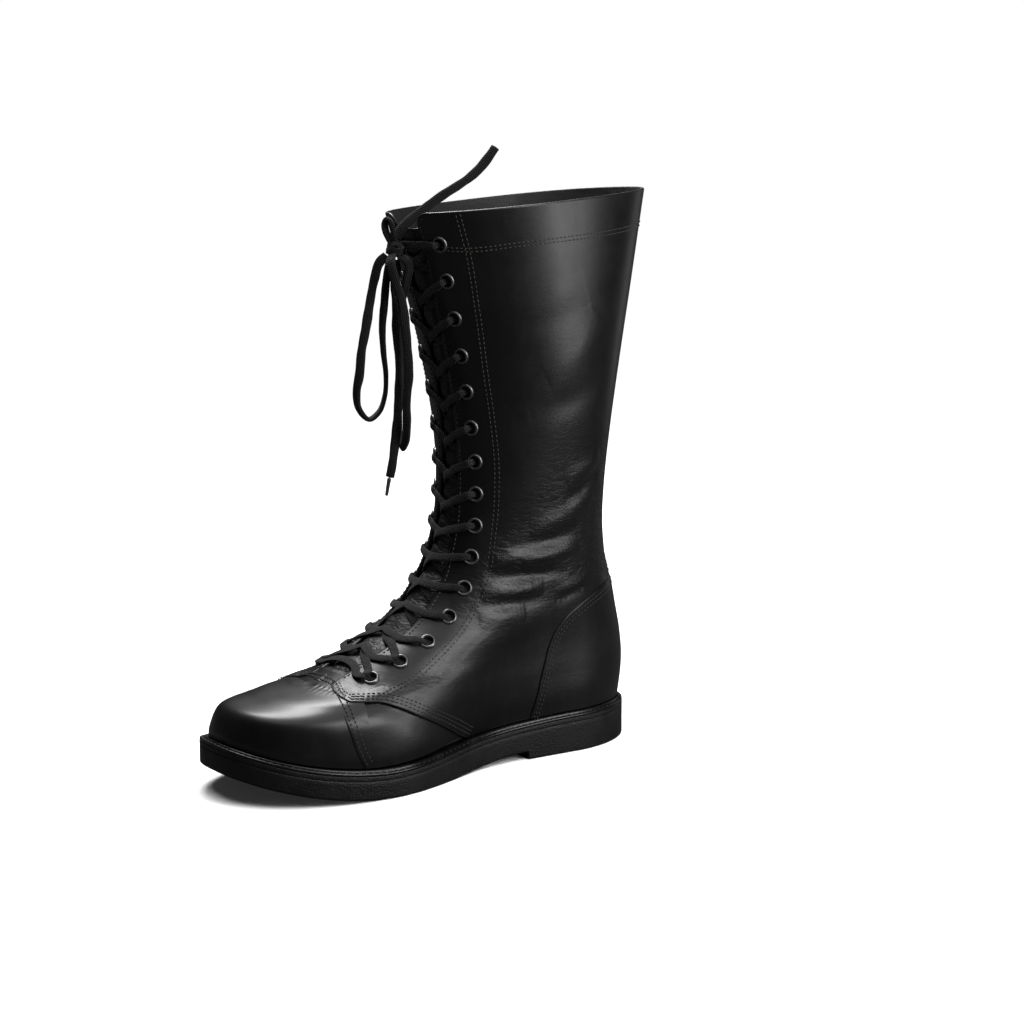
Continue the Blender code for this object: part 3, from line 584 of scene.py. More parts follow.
# rubber: colour, colour of its dust, roughness, how fine its grain is and how deep
SIDE_RUBBER = rubber_material("side_rubber", grey(0.0038), grey(0.0075), 0.52, 700.0, 1.0)
TREAD_RUBBER = rubber_material("tread_rubber", grey(0.016), grey(0.030), 0.66, 1300.0, 0.5)
WELT_RUBBER = rubber_material("welt_rubber", grey(0.0050), grey(0.0090), 0.25, 1500.0, 0.08)
EYELET_METAL = metal_material("eyelet_enamel", (0.045, 0.045, 0.046), (0.110, 0.108, 0.105), 0.30)
LACE_BRAID = woven_material("lace_braid", (0.0060, 0.0060, 0.0062), (0.024, 0.024, 0.025), 4.5)
THREAD = thread_material("upper_thread", (0.090, 0.084, 0.076), (0.030, 0.028, 0.026))
DARK_THREAD = thread_material("dark_thread", (0.070, 0.066, 0.062), (0.024, 0.023, 0.022))
WELT_THREAD = thread_material("welt_thread", (0.048, 0.046, 0.044), (0.022, 0.022, 0.021))


# ---------------------------------------------------------------- meshes

def show(name, data):
    """A new object in the scene, with its mesh, lamp or camera."""
    made = bpy.data.objects.new(name, data)
    bpy.context.scene.collection.objects.link(made)
    return made


def add_mesh(name, points, faces, material, uvs=None, flex=None):
    """A smooth piece of table-millimetre points, riding on the boot. flex, 0 to 1, marks
    where leather wrinkles and where the lace is paler."""
    mesh = bpy.data.meshes.new(name)
    mesh.from_pydata(place(points).tolist(), [], faces if isinstance(faces, list) else faces.tolist())
    mesh.materials.append(material)
    mesh.polygons.foreach_set("use_smooth", [True] * len(mesh.polygons))
    if uvs is not None:
        layer = mesh.uv_layers.new(name="UVMap")
        corners = np.zeros(len(mesh.loops), dtype=np.int32)
        mesh.loops.foreach_get("vertex_index", corners)
        layer.data.foreach_set("uv", np.asarray(uvs, np.float32)[corners].ravel())
    if flex is not None:
        layer = mesh.attributes.new("flex", "FLOAT", "POINT")
        layer.data.foreach_set("value", np.full(len(points), flex, np.float32))
    mesh.update()
    piece = show(name, mesh)
    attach(piece, "root")
    return piece


def numbered(rows, columns, start=0):
    """The numbers of a grid's points, row by row."""
    return start + np.arange(rows * columns).reshape(rows, columns)


def quads(index, wrap=False):
    """Faces between the rows of a grid of numbered points; wrap joins the last column to the first."""
    if wrap:
        index = np.column_stack([index, index[:, :1]])
    corners = [index[:-1, :-1], index[:-1, 1:], index[1:, 1:], index[1:, :-1]]
    return np.stack(corners, axis=-1).reshape(-1, 4)


def join(parts):
    """One table of points and one of faces from several (points, faces)."""
    points, faces, start = [], [], 0
    for part_points, part_faces in parts:
        points.append(part_points.reshape(-1, 3))
        faces.append(np.asarray(part_faces) + start)
        start += len(points[-1])
    return np.vstack(points), np.vstack(faces)


# ---------------------------------------------------------------- camera

def way_to(azimuth, elevation):
    """Direction from the boot, in degrees from the toe round to the medial side and up."""
    azimuth, elevation = np.radians((azimuth, elevation))
    across = np.cos(elevation)
    return np.array([np.sin(azimuth) * across, -np.cos(azimuth) * across, np.sin(elevation)])


def aim(thing, way):
    """Turns a camera or lamp that lies this way from the boot to look back at it."""
    thing.rotation_euler = Vector(-way).to_track_quat("-Z", "Y").to_euler()


def make_camera():
    back = way_to(CAMERA_AZIMUTH, CAMERA_ELEVATION)
    data = bpy.data.cameras.new("camera")
    data.lens, data.sensor_width = LENS, SENSOR
    camera = show("camera", data)
    camera.location = place(np.array(CAMERA_LOOK_AT) + CAMERA_DISTANCE * back)
    aim(camera, back)
    bpy.context.scene.camera = camera


make_camera()


# ---------------------------------------------------------------- lace

KNOT_CENTRE, KNOT_RADII, KNOT_CLEARANCE = np.array([-3.0, -19.7, 320.5]), np.array([6.5, 5.2, 5.5]), 1.0
LACE_THICKNESS, CORD_THICKNESS, LOOSE_WIDTH = 1.2, 3.0, 5.7
RIBBON_SIDES, SQUARED = 14, 0.72  # SQUARED, below 1, makes a lace's section squarer
END_BULGE = 0.5
AGLET_RADIUS, AGLET_TAPER, AGLET_LIP = 1.25, 0.25, 0.12
KNOT_STEPS, KNOT_WIDTH, KNOT_THICKNESS = 44, LACE_WIDTH * 0.92, LACE_THICKNESS * 1.15
STANDING_WIDTH, STANDING_TURNS = LACE_WIDTH * 0.85, (0, 25, 60, 25, 0)
ROUTE_STEP, AGLET_STEP, LOOP_STEP = 1.2, 0.4, 0.9
WAVER = ((0.05, 0.23), (0.03, 0.61))  # parts by which a loose lace's width varies, and how fast along it
Strand = namedtuple("Strand", "name leaves points returns far_end turns")
LOOSE_LACE = table(
    Strand,  # the way it leaves the knot, its route, the way back, its end, and its flat's turns in degrees
    ("lace_loop_large", (-0.45, -0.65, -0.60), [
        (-8.4, -26.8, 313.3), (-10, -30, 303), (-11, -33, 288), (-11, -36, 273), (-13, -38, 259),
        (-14, -39, 245), (-16, -40, 234), (-17, -38, 224), (-16, -31, 217), (-15, -25, 221),
        (-14, -21, 231), (-14, -20, 243), (-15, -21, 258), (-16, -21, 273), (-15, -20, 288),
        (-14, -19, 302), (-12.7, -17.2, 313.2),
    ], (-0.80, 0.15, -0.60), "knot", (0, 15, -10, 20, 60, 35, 10, -15, 0)),
    ("lace_loop_small", (0.50, -0.70, -0.55), [
        (3.4, -27, 312.5), (4.5, -25, 303), (4.5, -20, 290), (5, -18, 275), (6, -17, 260), (7, -17, 245),
        (6, -18, 230), (6, -18, 215), (3, -17, 205), (-4, -15, 200), (-11, -12, 204), (-13, -11, 213),
        (-13, -11, 228), (-12, -10, 244), (-11, -11, 259), (-9, -12, 274), (-6, -13, 290), (1, -14, 302),
        (5, -15.6, 313),
    ], (0.70, 0.30, -0.65), "knot", (20, -10, 10, 30, 50, 40, 15, -10, 10)),
    ("lace_end_down", (0, 0, -1), [
        (-3, -19, 309), (-3.5, -19.5, 298), (-3, -19, 287), (-4, -18.5, 272), (-3, -18, 254),
        (-3, -18, 235), (-1.5, -20, 217), (-3, -21, 202), (-4, -22.5, 189), (-5, -23.5, 182),
    ], None, "fitting", (10, -20, 25, 60, 10, -20, 5)),
    ("lace_end_up", (0.10, 0.05, 1.0), [
        (-1.8, -15.5, 333), (0, -4.5, 342), (1, 5, 348.5), (2, 14, 354), (3, 23, 359), (4, 31, 364),
        (5, 37, 369), (6.5, 42.5, 375.5), (8, 47, 382),
    ], None, "bare", (0, 20, 45, 20, 0)),
)
AGLET = [(-5.1, -23.9, 181.2), (-5.9, -24.5, 176.0), (-6.7, -25.0, 170.6)]
FACES_CAMERA = (0.72, -0.69, 0.0)  # the flat of a hanging lace turns this way


def knot_exit(direction):
    """The middle of a strand's end, clear of the knot."""
    way = unit(np.array(direction, float))
    return KNOT_CENTRE + way * (1.0 / np.linalg.norm(way / KNOT_RADII) + KNOT_CLEARANCE)


def blurred(rows, spread):
    """Rows smoothed along their length, its ends held."""
    reach = int(3 * spread)
    weights = np.exp(-0.5 * (np.arange(-reach, reach + 1) / spread) ** 2)
    padded = np.pad(rows, ((reach, reach), (0, 0)), mode="edge")
    return np.stack([np.convolve(column, weights / weights.sum(), "valid") for column in padded.T], axis=1)


def squarer(values):
    return np.sign(values) * np.abs(values) ** SQUARED / 2


def ribbon(path, flats, width, thickness):
    """Points, faces and uvs (mm along, part across) of a flat braid. flats is the way
    its flat side faces; width and thickness may be one number or one for each point."""
    count = len(path)
    ahead = unit(np.gradient(path, axis=0))
    heading = flats - ahead * (flats * ahead).sum(axis=1, keepdims=True)
    across = unit(np.cross(ahead, unit(heading)))
    thick = np.cross(across, ahead)
    angles = np.linspace(0.0, 2 * np.pi, RIBBON_SIDES, endpoint=False)
    side, lift = squarer(np.cos(angles)), squarer(np.sin(angles))
    wide = np.broadcast_to(width, count)[:, None] * side
    high = np.broadcast_to(thickness, count)[:, None] * lift
    rings = path[:, None] + across[:, None] * wide[..., None] + thick[:, None] * high[..., None]
    middles = path[[0, -1]] + ahead[[0, -1]] * [[-END_BULGE], [END_BULGE]]
    along = running_length(path)
    uvs = np.stack(np.broadcast_arrays(along[:, None], side + 0.5), axis=-1).reshape(-1, 2)
    index = numbered(count, RIBBON_SIDES)
    faces = [quads(index, wrap=True)[:, ::-1]]
    first, last = index[0], index[-1]
    for a, b, middle in ((first, np.roll(first, -1), index.size), (np.roll(last, -1), last, index.size + 1)):
        middle = np.full_like(a, middle)
        faces.append(np.stack([a, b, middle, middle], axis=1))
    uvs = np.vstack([uvs, [[along[0], 0.5], [along[-1], 0.5]]])
    return np.vstack([rings.reshape(-1, 3), middles]), np.vstack(faces), uvs


def tidy_faces(faces):
    """Lists of a face's points, with a repeated last point dropped."""
    return [tuple(face[:3]) if face[2] == face[3] else tuple(face) for face in np.asarray(faces).tolist()]


def join_ribbons(parts):
    points, faces = join([part[:2] for part in parts])
    return points, tidy_faces(faces), np.vstack([part[2] for part in parts])


def hanging_flats(path, turns):
    """A slow turn of the flat about the lace, starting from the camera's side."""
    ahead = unit(np.gradient(path, axis=0))
    flat = np.array(FACES_CAMERA)
    flats = []
    for tangent in ahead:
        flat = unit(flat - tangent * np.dot(flat, tangent))
        flats.append(flat)
    flats = np.array(flats)
    part = np.linspace(0, 1, len(path))
    angle = np.interp(part, np.linspace(0, 1, len(turns)), np.radians(turns))[:, None]
    return flats * np.cos(angle) + np.cross(ahead, flats) * np.sin(angle)


def make_loose_lace():
    made = {}
    for strand in LOOSE_LACE:
        route = [knot_exit(strand.leaves), *strand.points]
        if strand.returns:
            route.append(knot_exit(strand.returns))
        path = smooth_route(route, ROUTE_STEP)
        step, along = np.arange(len(path)), running_length(path)
        width = LOOSE_WIDTH * sum((size * np.sin(step * rate) for size, rate in WAVER), 1.0)
        ends = np.minimum(along, along[-1] - along)
        thickness = CORD_THICKNESS * (0.75 + 0.25 * smooth_step(0.0, 6.0, ends))
        points, faces, uvs = ribbon(path, hanging_flats(path, strand.turns), width, thickness)
        piece = add_mesh(strand.name + "_braid", points, tidy_faces(faces), LACE_BRAID, uvs)
        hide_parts(strand.name)
        made[strand.name] = (piece, path, strand)
    return made


def make_aglet():
    path = smooth_route(AGLET, AGLET_STEP)
    along = running_length(path) / running_length(path)[-1]
    lip = AGLET_LIP * np.exp(-((along - 0.12) / 0.05) ** 2)
    radius = AGLET_RADIUS - AGLET_TAPER * along + lip
    points, faces, uvs = ribbon(path, hanging_flats(path, (0, 0)), 2 * radius, 2 * radius)
    aglet = add_mesh("lace_aglet_sleeve", points, tidy_faces(faces), EYELET_METAL, uvs)
    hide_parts("lace_aglet")
    return aglet


Wrap = namedtuple("Wrap", "axis wide deep start sweep drift")
KNOT_WRAPS = table(
    Wrap,  # turns about the knot: their axis, radii, first angle and angle swept, drift along the axis
    ((0.25, 0.10, 1.0), 5.0, 4.3, 20.0, 400.0, (-1.6, 1.8)),
    ((1.0, 0.20, 0.35), 3.9, 3.7, 60.0, 380.0, (-1.5, 1.5)),
    ((-0.5, 0.9, 0.5), 4.3, 3.5, 0.0, 300.0, (-1.0, 1.2)),
)
STANDING_LOOP = [(-4.0, -20.0, 322.0), (-6.0, -21.5, 326.5), (-8.6, -22.6, 331.5), (-9.8, -22.4, 335.5),
                 (-8.2, -21.8, 338.4), (-5.6, -21.0, 337.2), (-4.2, -20.4, 332.5), (-3.2, -20.0, 327.0),
                 (-2.4, -19.6, 322.5)]


def make_knot():
    """A bow's knot: turns of lace wound round each other, and a short loop left standing."""
    parts = []
    for wrap in KNOT_WRAPS:
        axis = unit(np.array(wrap.axis))
        first = unit(np.cross(axis, (0.0, 1.0, 0.15)))
        angle = np.radians(wrap.start + np.linspace(0.0, wrap.sweep, KNOT_STEPS))[:, None]
        one, other = first * np.cos(angle), np.cross(axis, first) * np.sin(angle)
        path = KNOT_CENTRE + one * wrap.wide + other * wrap.deep
        path = path + axis * np.linspace(*wrap.drift, KNOT_STEPS)[:, None]
        parts.append(ribbon(path, one + other, KNOT_WIDTH, KNOT_THICKNESS))
    loop = smooth_route(STANDING_LOOP, LOOP_STEP)
    parts.append(ribbon(loop, hanging_flats(loop, STANDING_TURNS), STANDING_WIDTH, CORD_THICKNESS))
    points, faces, uvs = join_ribbons(parts)
    knot = add_mesh("lace_knot_turns", points, faces, LACE_BRAID, uvs)
    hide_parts("lace_knot")
    return knot


# ---------------------------------------------------------------- panels of the upper

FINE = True
SPACING = 1.35 if FINE else 2.6
CORNER_RADIUS = 8.0
RIM = [(0.35, 0.10), (0.70, 0.38), (0.90, 0.80), (0.86, 1.30), (0.55, 1.75), (0.0, 1.95)]  # outward, down
THIN_RIM = [(0.16, 0.06), (0.34, 0.26), (0.42, 0.60), (0.42, 1.30)]
SEAM_STEP, SEAM_RELAX = 1.5, 10.0  # one leather's thickness, and how soon the leather below comes back up
TUCK_DROP, TUCK_UP = 3.0, (0.203, 0.232)  # how far the vamp's end sinks under the tongue, and where
CAP_STEP, CAP_RELAX, CAP_LIFT, VAMP_LIFT = 0.40, 9.0, 0.05, 0.15
CAP_TUCK, CAP_FOOT_TUCK, CAP_FOOT_UP = 0.020, 0.03, 0.05  # how far the cap goes on under the vamp
COUNTER_STEP, STAY_STEP = 0.95, 0.85
HALF_GIRTH, CROWDING = 190.0, 0.10  # of the shaft, front to back, and how far its columns crowd to the ends
VAMP_SIZE, CAP_SIZE, COUNTER_SIZE = (330, 100), (300, 110), (300, 105)  # across and up
STAY_SIZE, TONGUE_SIZE = (24, 290), (60, 340)
LINING_DEPTH, FORE_DEPTH = 1.95, 2.35
LINING_SPACING, FORE_COLUMNS, FORE_TOP, FORE_LAP = (3.0, 2.4), 90, 0.25, 0.02
FLEX_BASE, COUNTER_FLEX, STAY_FLEX, LINING_FLEX, TONGUE_FLEX = 0.10, 0.12, 0.10, 0.3, 0.9


def half_perimeter(up):
    rows = range(0, skin.ROWS, 20)
    return np.interp(up, skin.up[::20], [running_length(skin.halves[MEDIAL][r])[-1] for r in rows])


def front_edge():
    """The quarter's front edge as a dense line of (up, round): up the vamp seam, over the
    flap's slanted front, round its tip and up the facing."""
    slant = np.linspace(VAMP_SEAM[-1], FLAP_CORNER, 40)[1:]
    tip = np.linspace(FLAP_CORNER, FLAP_TIP, 5)[1:]
    up = np.linspace(FLAP_TIP.up + 0.004, 1.0, 800)
    down = np.maximum(CORNER_RADIUS - (1.0 - up) * skin.along[-1], 0.0)
    rounded = CORNER_RADIUS - np.sqrt(np.maximum(CORNER_RADIUS**2 - down**2, 0.0))
    facing = np.array([skin.facing_round(u, 0.0) for u in up]) + rounded / half_perimeter(up)
    return np.vstack([trace(VAMP_SEAM, spacing=0.5), slant, tip, np.column_stack([up, facing])])


FRONT_EDGE = front_edge()


def quarter_front(up):
    """round of the quarter's front edge."""
    return np.interp(up, FRONT_EDGE[:, 0], FRONT_EDGE[:, 1])


def wrapped(around):
    """round that may pass 1 at the back, onto the other side."""
    return np.where(around > 1.0, around - 2.0, around)


def strip_out(points, outs):
    """Outward direction along an edge, square to it and flat on the leather. The sheet
    is on the edge's right, seen from outside."""
    return unit(np.cross(outs, unit(np.gradient(points, axis=0))))


Sheet = namedtuple("Sheet", "points outs faces index")


def lay(ups, sides, height, turned=False):
    """A grid of (up, round) laid at a height over the leather. turned faces it the other way."""
    index = numbered(*ups.shape)
    faces = quads(index)[:, ::-1] if turned else quads(index)
    outs = skin.out(ups, sides).reshape(-1, 3)
    return Sheet(leather(ups, sides, height).reshape(-1, 3), outs, faces, index)


def rimmed(sheet, edge, profile):
    """The sheet's points and faces with its edge turned down by a profile."""
    points, outs = sheet.points[edge], sheet.outs[edge]
    away = strip_out(points, outs)
    rows = [points + away * out - outs * down for out, down in profile]
    index = np.vstack([edge, numbered(len(profile), len(edge), len(sheet.points))])
    return np.vstack([sheet.points, *rows]), np.vstack([sheet.faces, quads(index)])


def open_border(index):
    """A grid's points up its first column, along its last row and down its last column."""
    return np.r_[index[:, 0], index[-1, 1:-1], index[::-1, -1]]


def with_rim(flex, points):
    """flex of a sheet's points, and 0 for the points that follow them."""
    return np.r_[flex, np.zeros(len(points) - len(flex))]


def steps(length):
    return int(length / SPACING)


def flex_of(up, around):
    """Where the leather wrinkles: at the ankle, over the instep and behind the cap."""
    around = np.abs(around)
    ankle = np.exp(-(((up - 0.38) / 0.10) ** 2)) * smooth_step(0.12, 0.30, around)
    high = 0.45 * np.exp(-(((up - 0.53) / 0.07) ** 2)) * smooth_step(0.3, 0.6, around)
    bend = 0.8 * np.exp(-(((up - 0.15) / 0.05) ** 2)) * (1.0 - smooth_step(0.30, 0.50, around))
    return np.clip(FLEX_BASE + ankle + high + bend, 0.0, 1.0).ravel()


def quarter_grid(up, part):
    """up and round over both quarters, at parts of the way from each front edge to the back."""
    front = quarter_front(up)[:, None]
    medial = front + (1.0 - front) * part
    around = np.concatenate([medial, 2.0 - medial[:, -2::-1]], axis=1)
    return np.broadcast_to(up[:, None], around.shape), wrapped(around)


def make_quarters():
    """Both quarters in one sheet, from the medial front edge round the back to the lateral."""
    along = running_length(skin.at(*FRONT_EDGE.T))
    even = np.interp(np.linspace(0.0, along[-1], steps(along[-1])), along, FRONT_EDGE[:, 0])
    up = np.unique(np.r_[even, VAMP_SEAM[-1].up, FLAP_CORNER.up, FLAP_TIP.up])
    part = np.linspace(0.0, 1.0, steps(HALF_GIRTH))
    ups, sides = quarter_grid(up, part + CROWDING * np.sin(2 * np.pi * part) / (2 * np.pi))
    sheet = lay(ups, sides, 0.0)
    middles = sheet.points[sheet.faces].mean(axis=1)
    keep = np.ones(len(middles), bool)
    for side in (MEDIAL, LATERAL):
        for row in range(EYELET_ROWS):
            centre = skin.at(skin.eyelet_up(row), side * skin.eyelet_round(row))
            keep &= ((middles - centre) ** 2).sum(axis=1) > HOLE_CUT**2
    sheet = sheet._replace(faces=sheet.faces[keep])
    points, faces = rimmed(sheet, open_border(sheet.index), RIM)
    flex = with_rim(flex_of(ups, sides), points)
    quarters = add_mesh("quarters", points, faces, UPPER_LEATHER, flex=flex)
    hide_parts("upper")


VAMP_TUCK = [(0.142, 0.235), (0.160, 0.190), (0.190, 0.130), (0.217, 0.090), (0.230, 0.045), (0.234, 0.0)]
TUCK_SHIFT = (0.008, 0.040)  # how far the vamp goes on under the quarters, in up and round


def saddle_line(marks, count):
    """A smooth line of (up, round) from the medial marks over the front to the lateral side."""
    marks = np.array(marks)
    half = np.linspace(-1.0, 1.0, count)
    knots = running_length(marks * (UP_MM, SADDLE_MM))
    knots = 1.0 - knots / knots[-1]
    line = hermite(knots[::-1], marks[::-1], np.abs(half))
    return np.column_stack([np.clip(line[:, 0], 0.0, 1.0), line[:, 1] * np.sign(-half)])


def between_lines(first, last, rows):
    """up and round over a panel whose rows run from one line of (up, round) to another."""
    part = np.linspace(0.0, 1.0, rows)[:, None, None]
    grid = first * (1 - part) + last * part
    return grid[..., 0], wrapped(grid[..., 1])


def gap_to_line(grid, line, step=3):
    """Distance of each point of a grid from a dense line, both in millimetres."""
    tree = KDTree(len(line[::step]))
    for i, p in enumerate(line[::step]):
        tree.insert(p, i)
    tree.balance()
    return np.array([tree.find(p)[2] for p in grid.reshape(-1, 3)]).reshape(grid.shape[:-1])


def flap_outline(side):
    """Points along a quarter's lower front, from the welt to the flap's tip."""
    line = FRONT_EDGE[FRONT_EDGE[:, 0] <= FLAP_TIP.up]
    return skin.at(line[:, 0], side * line[:, 1])


def make_vamp():
    """Saddle of leather over the instep: it laps the toe cap, and the quarters lap it."""
    columns, rows = map(steps, VAMP_SIZE)
    tucked = [*(np.array(VAMP_SEAM[:-2]) + TUCK_SHIFT), *VAMP_TUCK]
    ups, sides = between_lines(saddle_line(TOE_CAP_LINE, columns), saddle_line(tucked, columns), rows)
    seam = np.vstack([flap_outline(MEDIAL), flap_outline(LATERAL)])
    gap = gap_to_line(skin.at(ups, sides), seam)
    under = np.abs(sides) > quarter_front(ups)
    sunk = np.where(under, 1.0, np.exp(-((gap / SEAM_RELAX) ** 2)))
    height = VAMP_LIFT - (SEAM_STEP + VAMP_LIFT) * sunk - TUCK_DROP * smooth_step(*TUCK_UP, ups)
    sheet = lay(ups, sides, height, turned=True)
    points, faces = rimmed(sheet, sheet.index[0], THIN_RIM)
    vamp = add_mesh("vamp", points, faces, UPPER_LEATHER, flex=with_rim(flex_of(ups, sides), points))


def foot_of(line):
    """The line's own foot: along the sole, from below its start to below its end."""
    return np.column_stack([np.zeros(len(line)), np.linspace(line[0, 1], line[-1, 1], len(line))])


def make_toe_cap():
    """Plain cap over the toes, its rear edge under the vamp."""
    columns, rows = map(steps, CAP_SIZE)
    front = saddle_line(TOE_CAP_LINE, columns)
    way, high = np.sign(front[:, 1]), smooth_step(0.0, CAP_FOOT_UP, front[:, 0])
    rear = front + np.column_stack([CAP_TUCK * high, CAP_TUCK * way * high])
    rear[:, 1] += way * CAP_FOOT_TUCK * (1.0 - high)
    ups, sides = between_lines(foot_of(rear), rear, rows)
    gap = gap_to_line(skin.at(ups, sides), skin.at(*front.T), 2)
    sheet = lay(ups, sides, CAP_LIFT - CAP_STEP * np.exp(-((gap / CAP_RELAX) ** 2)), turned=True)
    cap = add_mesh("toe_cap", sheet.points, sheet.faces, TOE_LEATHER, flex=0.0)


def over_back(marks, girth, count):
    """A smooth line of (up, round) through the medial marks, over the back and down the other side."""
    line = np.array(marks)
    line = np.vstack([line, line[-2::-1] * (1, -1) + (0.0, 2.0)])
    knots = running_length(line * (UP_MM, girth))
    return hermite(knots, line, np.linspace(0.0, knots[-1], count))


def make_counter():
    """Stiff counter stitched over the quarters round the heel."""
    columns, rows = map(steps, COUNTER_SIZE)
    line = over_back(COUNTER_LINE, COUNTER_MM, columns)
    sheet = lay(*between_lines(foot_of(line), line, rows), COUNTER_STEP)
    points, faces = rimmed(sheet, sheet.index[-1], THIN_RIM)
    counter = add_mesh("heel_counter", points, faces, UPPER_LEATHER, flex=COUNTER_FLEX)


BACK_STAY = [(0.27, 0.090), (0.36, 0.066), (0.48, 0.052), (0.65, 0.044), (0.85, 0.042), (0.994, 0.042)]


def make_back_stay():
    """Narrow strip up the back seam, from the counter to the collar."""
    columns, rows = map(steps, STAY_SIZE)
    up = np.linspace(BACK_STAY[0][0], BACK_STAY[-1][0], rows)
    half = np.interp(up, *np.array(BACK_STAY).T)
    around = 1.0 + half[:, None] * np.linspace(-1.0, 1.0, columns)
    sheet = lay(np.broadcast_to(up[:, None], around.shape), wrapped(around), STAY_STEP)
    points, faces = rimmed(sheet, open_border(sheet.index), THIN_RIM)
    stay = add_mesh("back_stay", points, faces, UPPER_LEATHER, flex=STAY_FLEX)


TONGUE_BOTTOM, TONGUE_TOP = 0.195, 0.972
TONGUE_REACH = 15.0  # under each facing
TONGUE_DEPTH, TONGUE_SWELL, TONGUE_WALL = 3.6, 3.1, 1.8
TONGUE_SLANT = 0.45  # how much the swelling leans to one side, then the other


def make_tongue():
    """Soft tongue that swells between the lace's crossings."""
    columns, rows = map(steps, TONGUE_SIZE)
    up = np.linspace(TONGUE_BOTTOM, TONGUE_TOP, rows)
    reach, edge = (
        np.array([skin.facing_round(u, step) for u in up])[:, None] for step in (TONGUE_REACH, 0.0)
    )
    around = reach * np.linspace(-1.0, 1.0, columns)
    ups = np.broadcast_to(up[:, None], around.shape)
    eyelets = np.arange(EYELET_ROWS)
    heights = np.array([skin.eyelet_up(row) for row in eyelets])
    phase = np.interp(ups, heights[::-1], eyelets[::-1], left=EYELET_ROWS - 1, right=0)
    uneven = np.interp(phase, eyelets, np.random.default_rng(11).uniform(0.6, 1.15, EYELET_ROWS))
    swollen = 0.45 + 0.55 * np.abs(np.cos(np.pi * phase)) ** 1.4 * uneven
    middle = 1.0 - smooth_step(0.35, 1.25, np.abs(around) / edge)
    slant = 0.5 * np.sin(2.1 * np.pi * phase + 6.0 * around / edge * 0.35)
    height = -TONGUE_DEPTH + TONGUE_SWELL * middle * swollen + TONGUE_SLANT * middle * slant
    sheet = lay(ups, around, height)
    back = sheet.points - sheet.outs * TONGUE_WALL
    points, faces = join([rimmed(sheet, sheet.index[-1], THIN_RIM), (back, sheet.faces[:, ::-1])])
    flex = with_rim(np.full(len(back), TONGUE_FLEX), points)
    tongue = add_mesh("tongue_cover", points, faces, TONGUE_LEATHER, flex=flex)
    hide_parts("tongue")


def make_lining():
    """Inside of the boot, in the lining's own leather: the shaft's and the forefoot's."""
    across, upward = LINING_SPACING
    part = np.linspace(0.0, 1.0, int(HALF_GIRTH / across))
    up = np.linspace(0.0, 1.0, int(405 / upward))
    shaft = lay(*quarter_grid(up, part), -LINING_DEPTH, turned=True)
    up = np.linspace(0.0, FORE_TOP, int(100 / upward))
    around = (quarter_front(up) + FORE_LAP)[:, None] * np.linspace(-1.0, 1.0, FORE_COLUMNS)
    fore = lay(np.broadcast_to(up[:, None], around.shape), around, -FORE_DEPTH, turned=True)
    points, faces = join([(sheet.points, sheet.faces) for sheet in (shaft, fore)])
    lining = add_mesh("lining", points, faces, LINING_LEATHER, flex=LINING_FLEX)


# ---------------------------------------------------------------- stitches

STITCH_PITCH, STITCH_LENGTH, STITCH_RADIUS = 2.9, 2.1, 0.36
STITCH_HEIGHT, STITCH_SIDES = 0.10, 6
STITCH_PROFILE = [  # part along, part of the radius, height in radii
    (-0.5, 0.25, -0.9), (-0.36, 0.85, -0.05), (0.0, 1.0, 0.25), (0.36, 0.85, -0.05), (0.5, 0.25, -0.9),
]
Row = namedtuple("Row", "points outs")


def line_of(up, around):
    """A line of (up, round) from its two columns; round may pass the back."""
    return np.column_stack([up, wrapped(around)])


def row_over(line, height):
    """A stitch row on the leather, at a height over it."""
    return Row(leather(*line.T, height), skin.out(*line.T))


def beside(line, sideways, height):
    """A stitch row beside a line of (up, round), on its left where sideways is above 0."""
    up, around = skin.shift(line, np.full(len(line), float(sideways))).T
    return row_over(line_of(up, around), height)


def add_stitches(name, rows, material, pitch=STITCH_PITCH, length=STITCH_LENGTH, radius=STITCH_RADIUS,
                 lean=0.0):
    """All of a seam's stitches as one mesh of small spindles that dip in at both ends."""
    part, size, rise = (column[None, :, None, None] for column in np.array(STITCH_PROFILE).T)
    angles = np.linspace(0.0, 2 * np.pi, STITCH_SIDES, endpoint=False)[None, None, :, None]
    one = quads(numbered(len(STITCH_PROFILE), STITCH_SIDES), wrap=True)
    each = len(STITCH_PROFILE) * STITCH_SIDES
    rng = np.random.default_rng(len(name) * 7 + len(rows))
    parts = []
    for row in rows:
        along = running_length(row.points)
        count = int(along[-1] / pitch)
        if count < 2:
            continue
        at = (np.arange(count) + 0.5) * along[-1] / count + rng.uniform(-0.07, 0.07, count)
        out = unit(between(at, along, row.outs))
        ahead = unit(between(at, along, np.gradient(row.points, along, axis=0)))
        across = unit(np.cross(out, ahead))
        ahead = unit(ahead + across * (lean + rng.uniform(-0.04, 0.04, (count, 1))))
        across = unit(np.cross(out, ahead))
        centre = between(at, along, row.points)
        centre, out, ahead, across = (array[:, None, None] for array in (centre, out, ahead, across))
        rings = (
            centre + ahead * (part * length) + out * (rise * radius)
            + across * (size * np.cos(angles) * radius) + out * (size * np.sin(angles) * radius)
        )
        parts.append((rings, (one[None] + (np.arange(count) * each)[:, None, None]).reshape(-1, 4)))
    points, faces = join(parts)
    seam = add_mesh(name, points, faces, material)
    return seam


Bead = namedtuple("Bead", "outside height width thick")
# a dark bead just outside each flap's edge: partly the raw cut edge, partly painted shadow under the flap
EDGE_SHADOW_BEAD = Bead(0.55, -0.10, 1.3, 0.8)
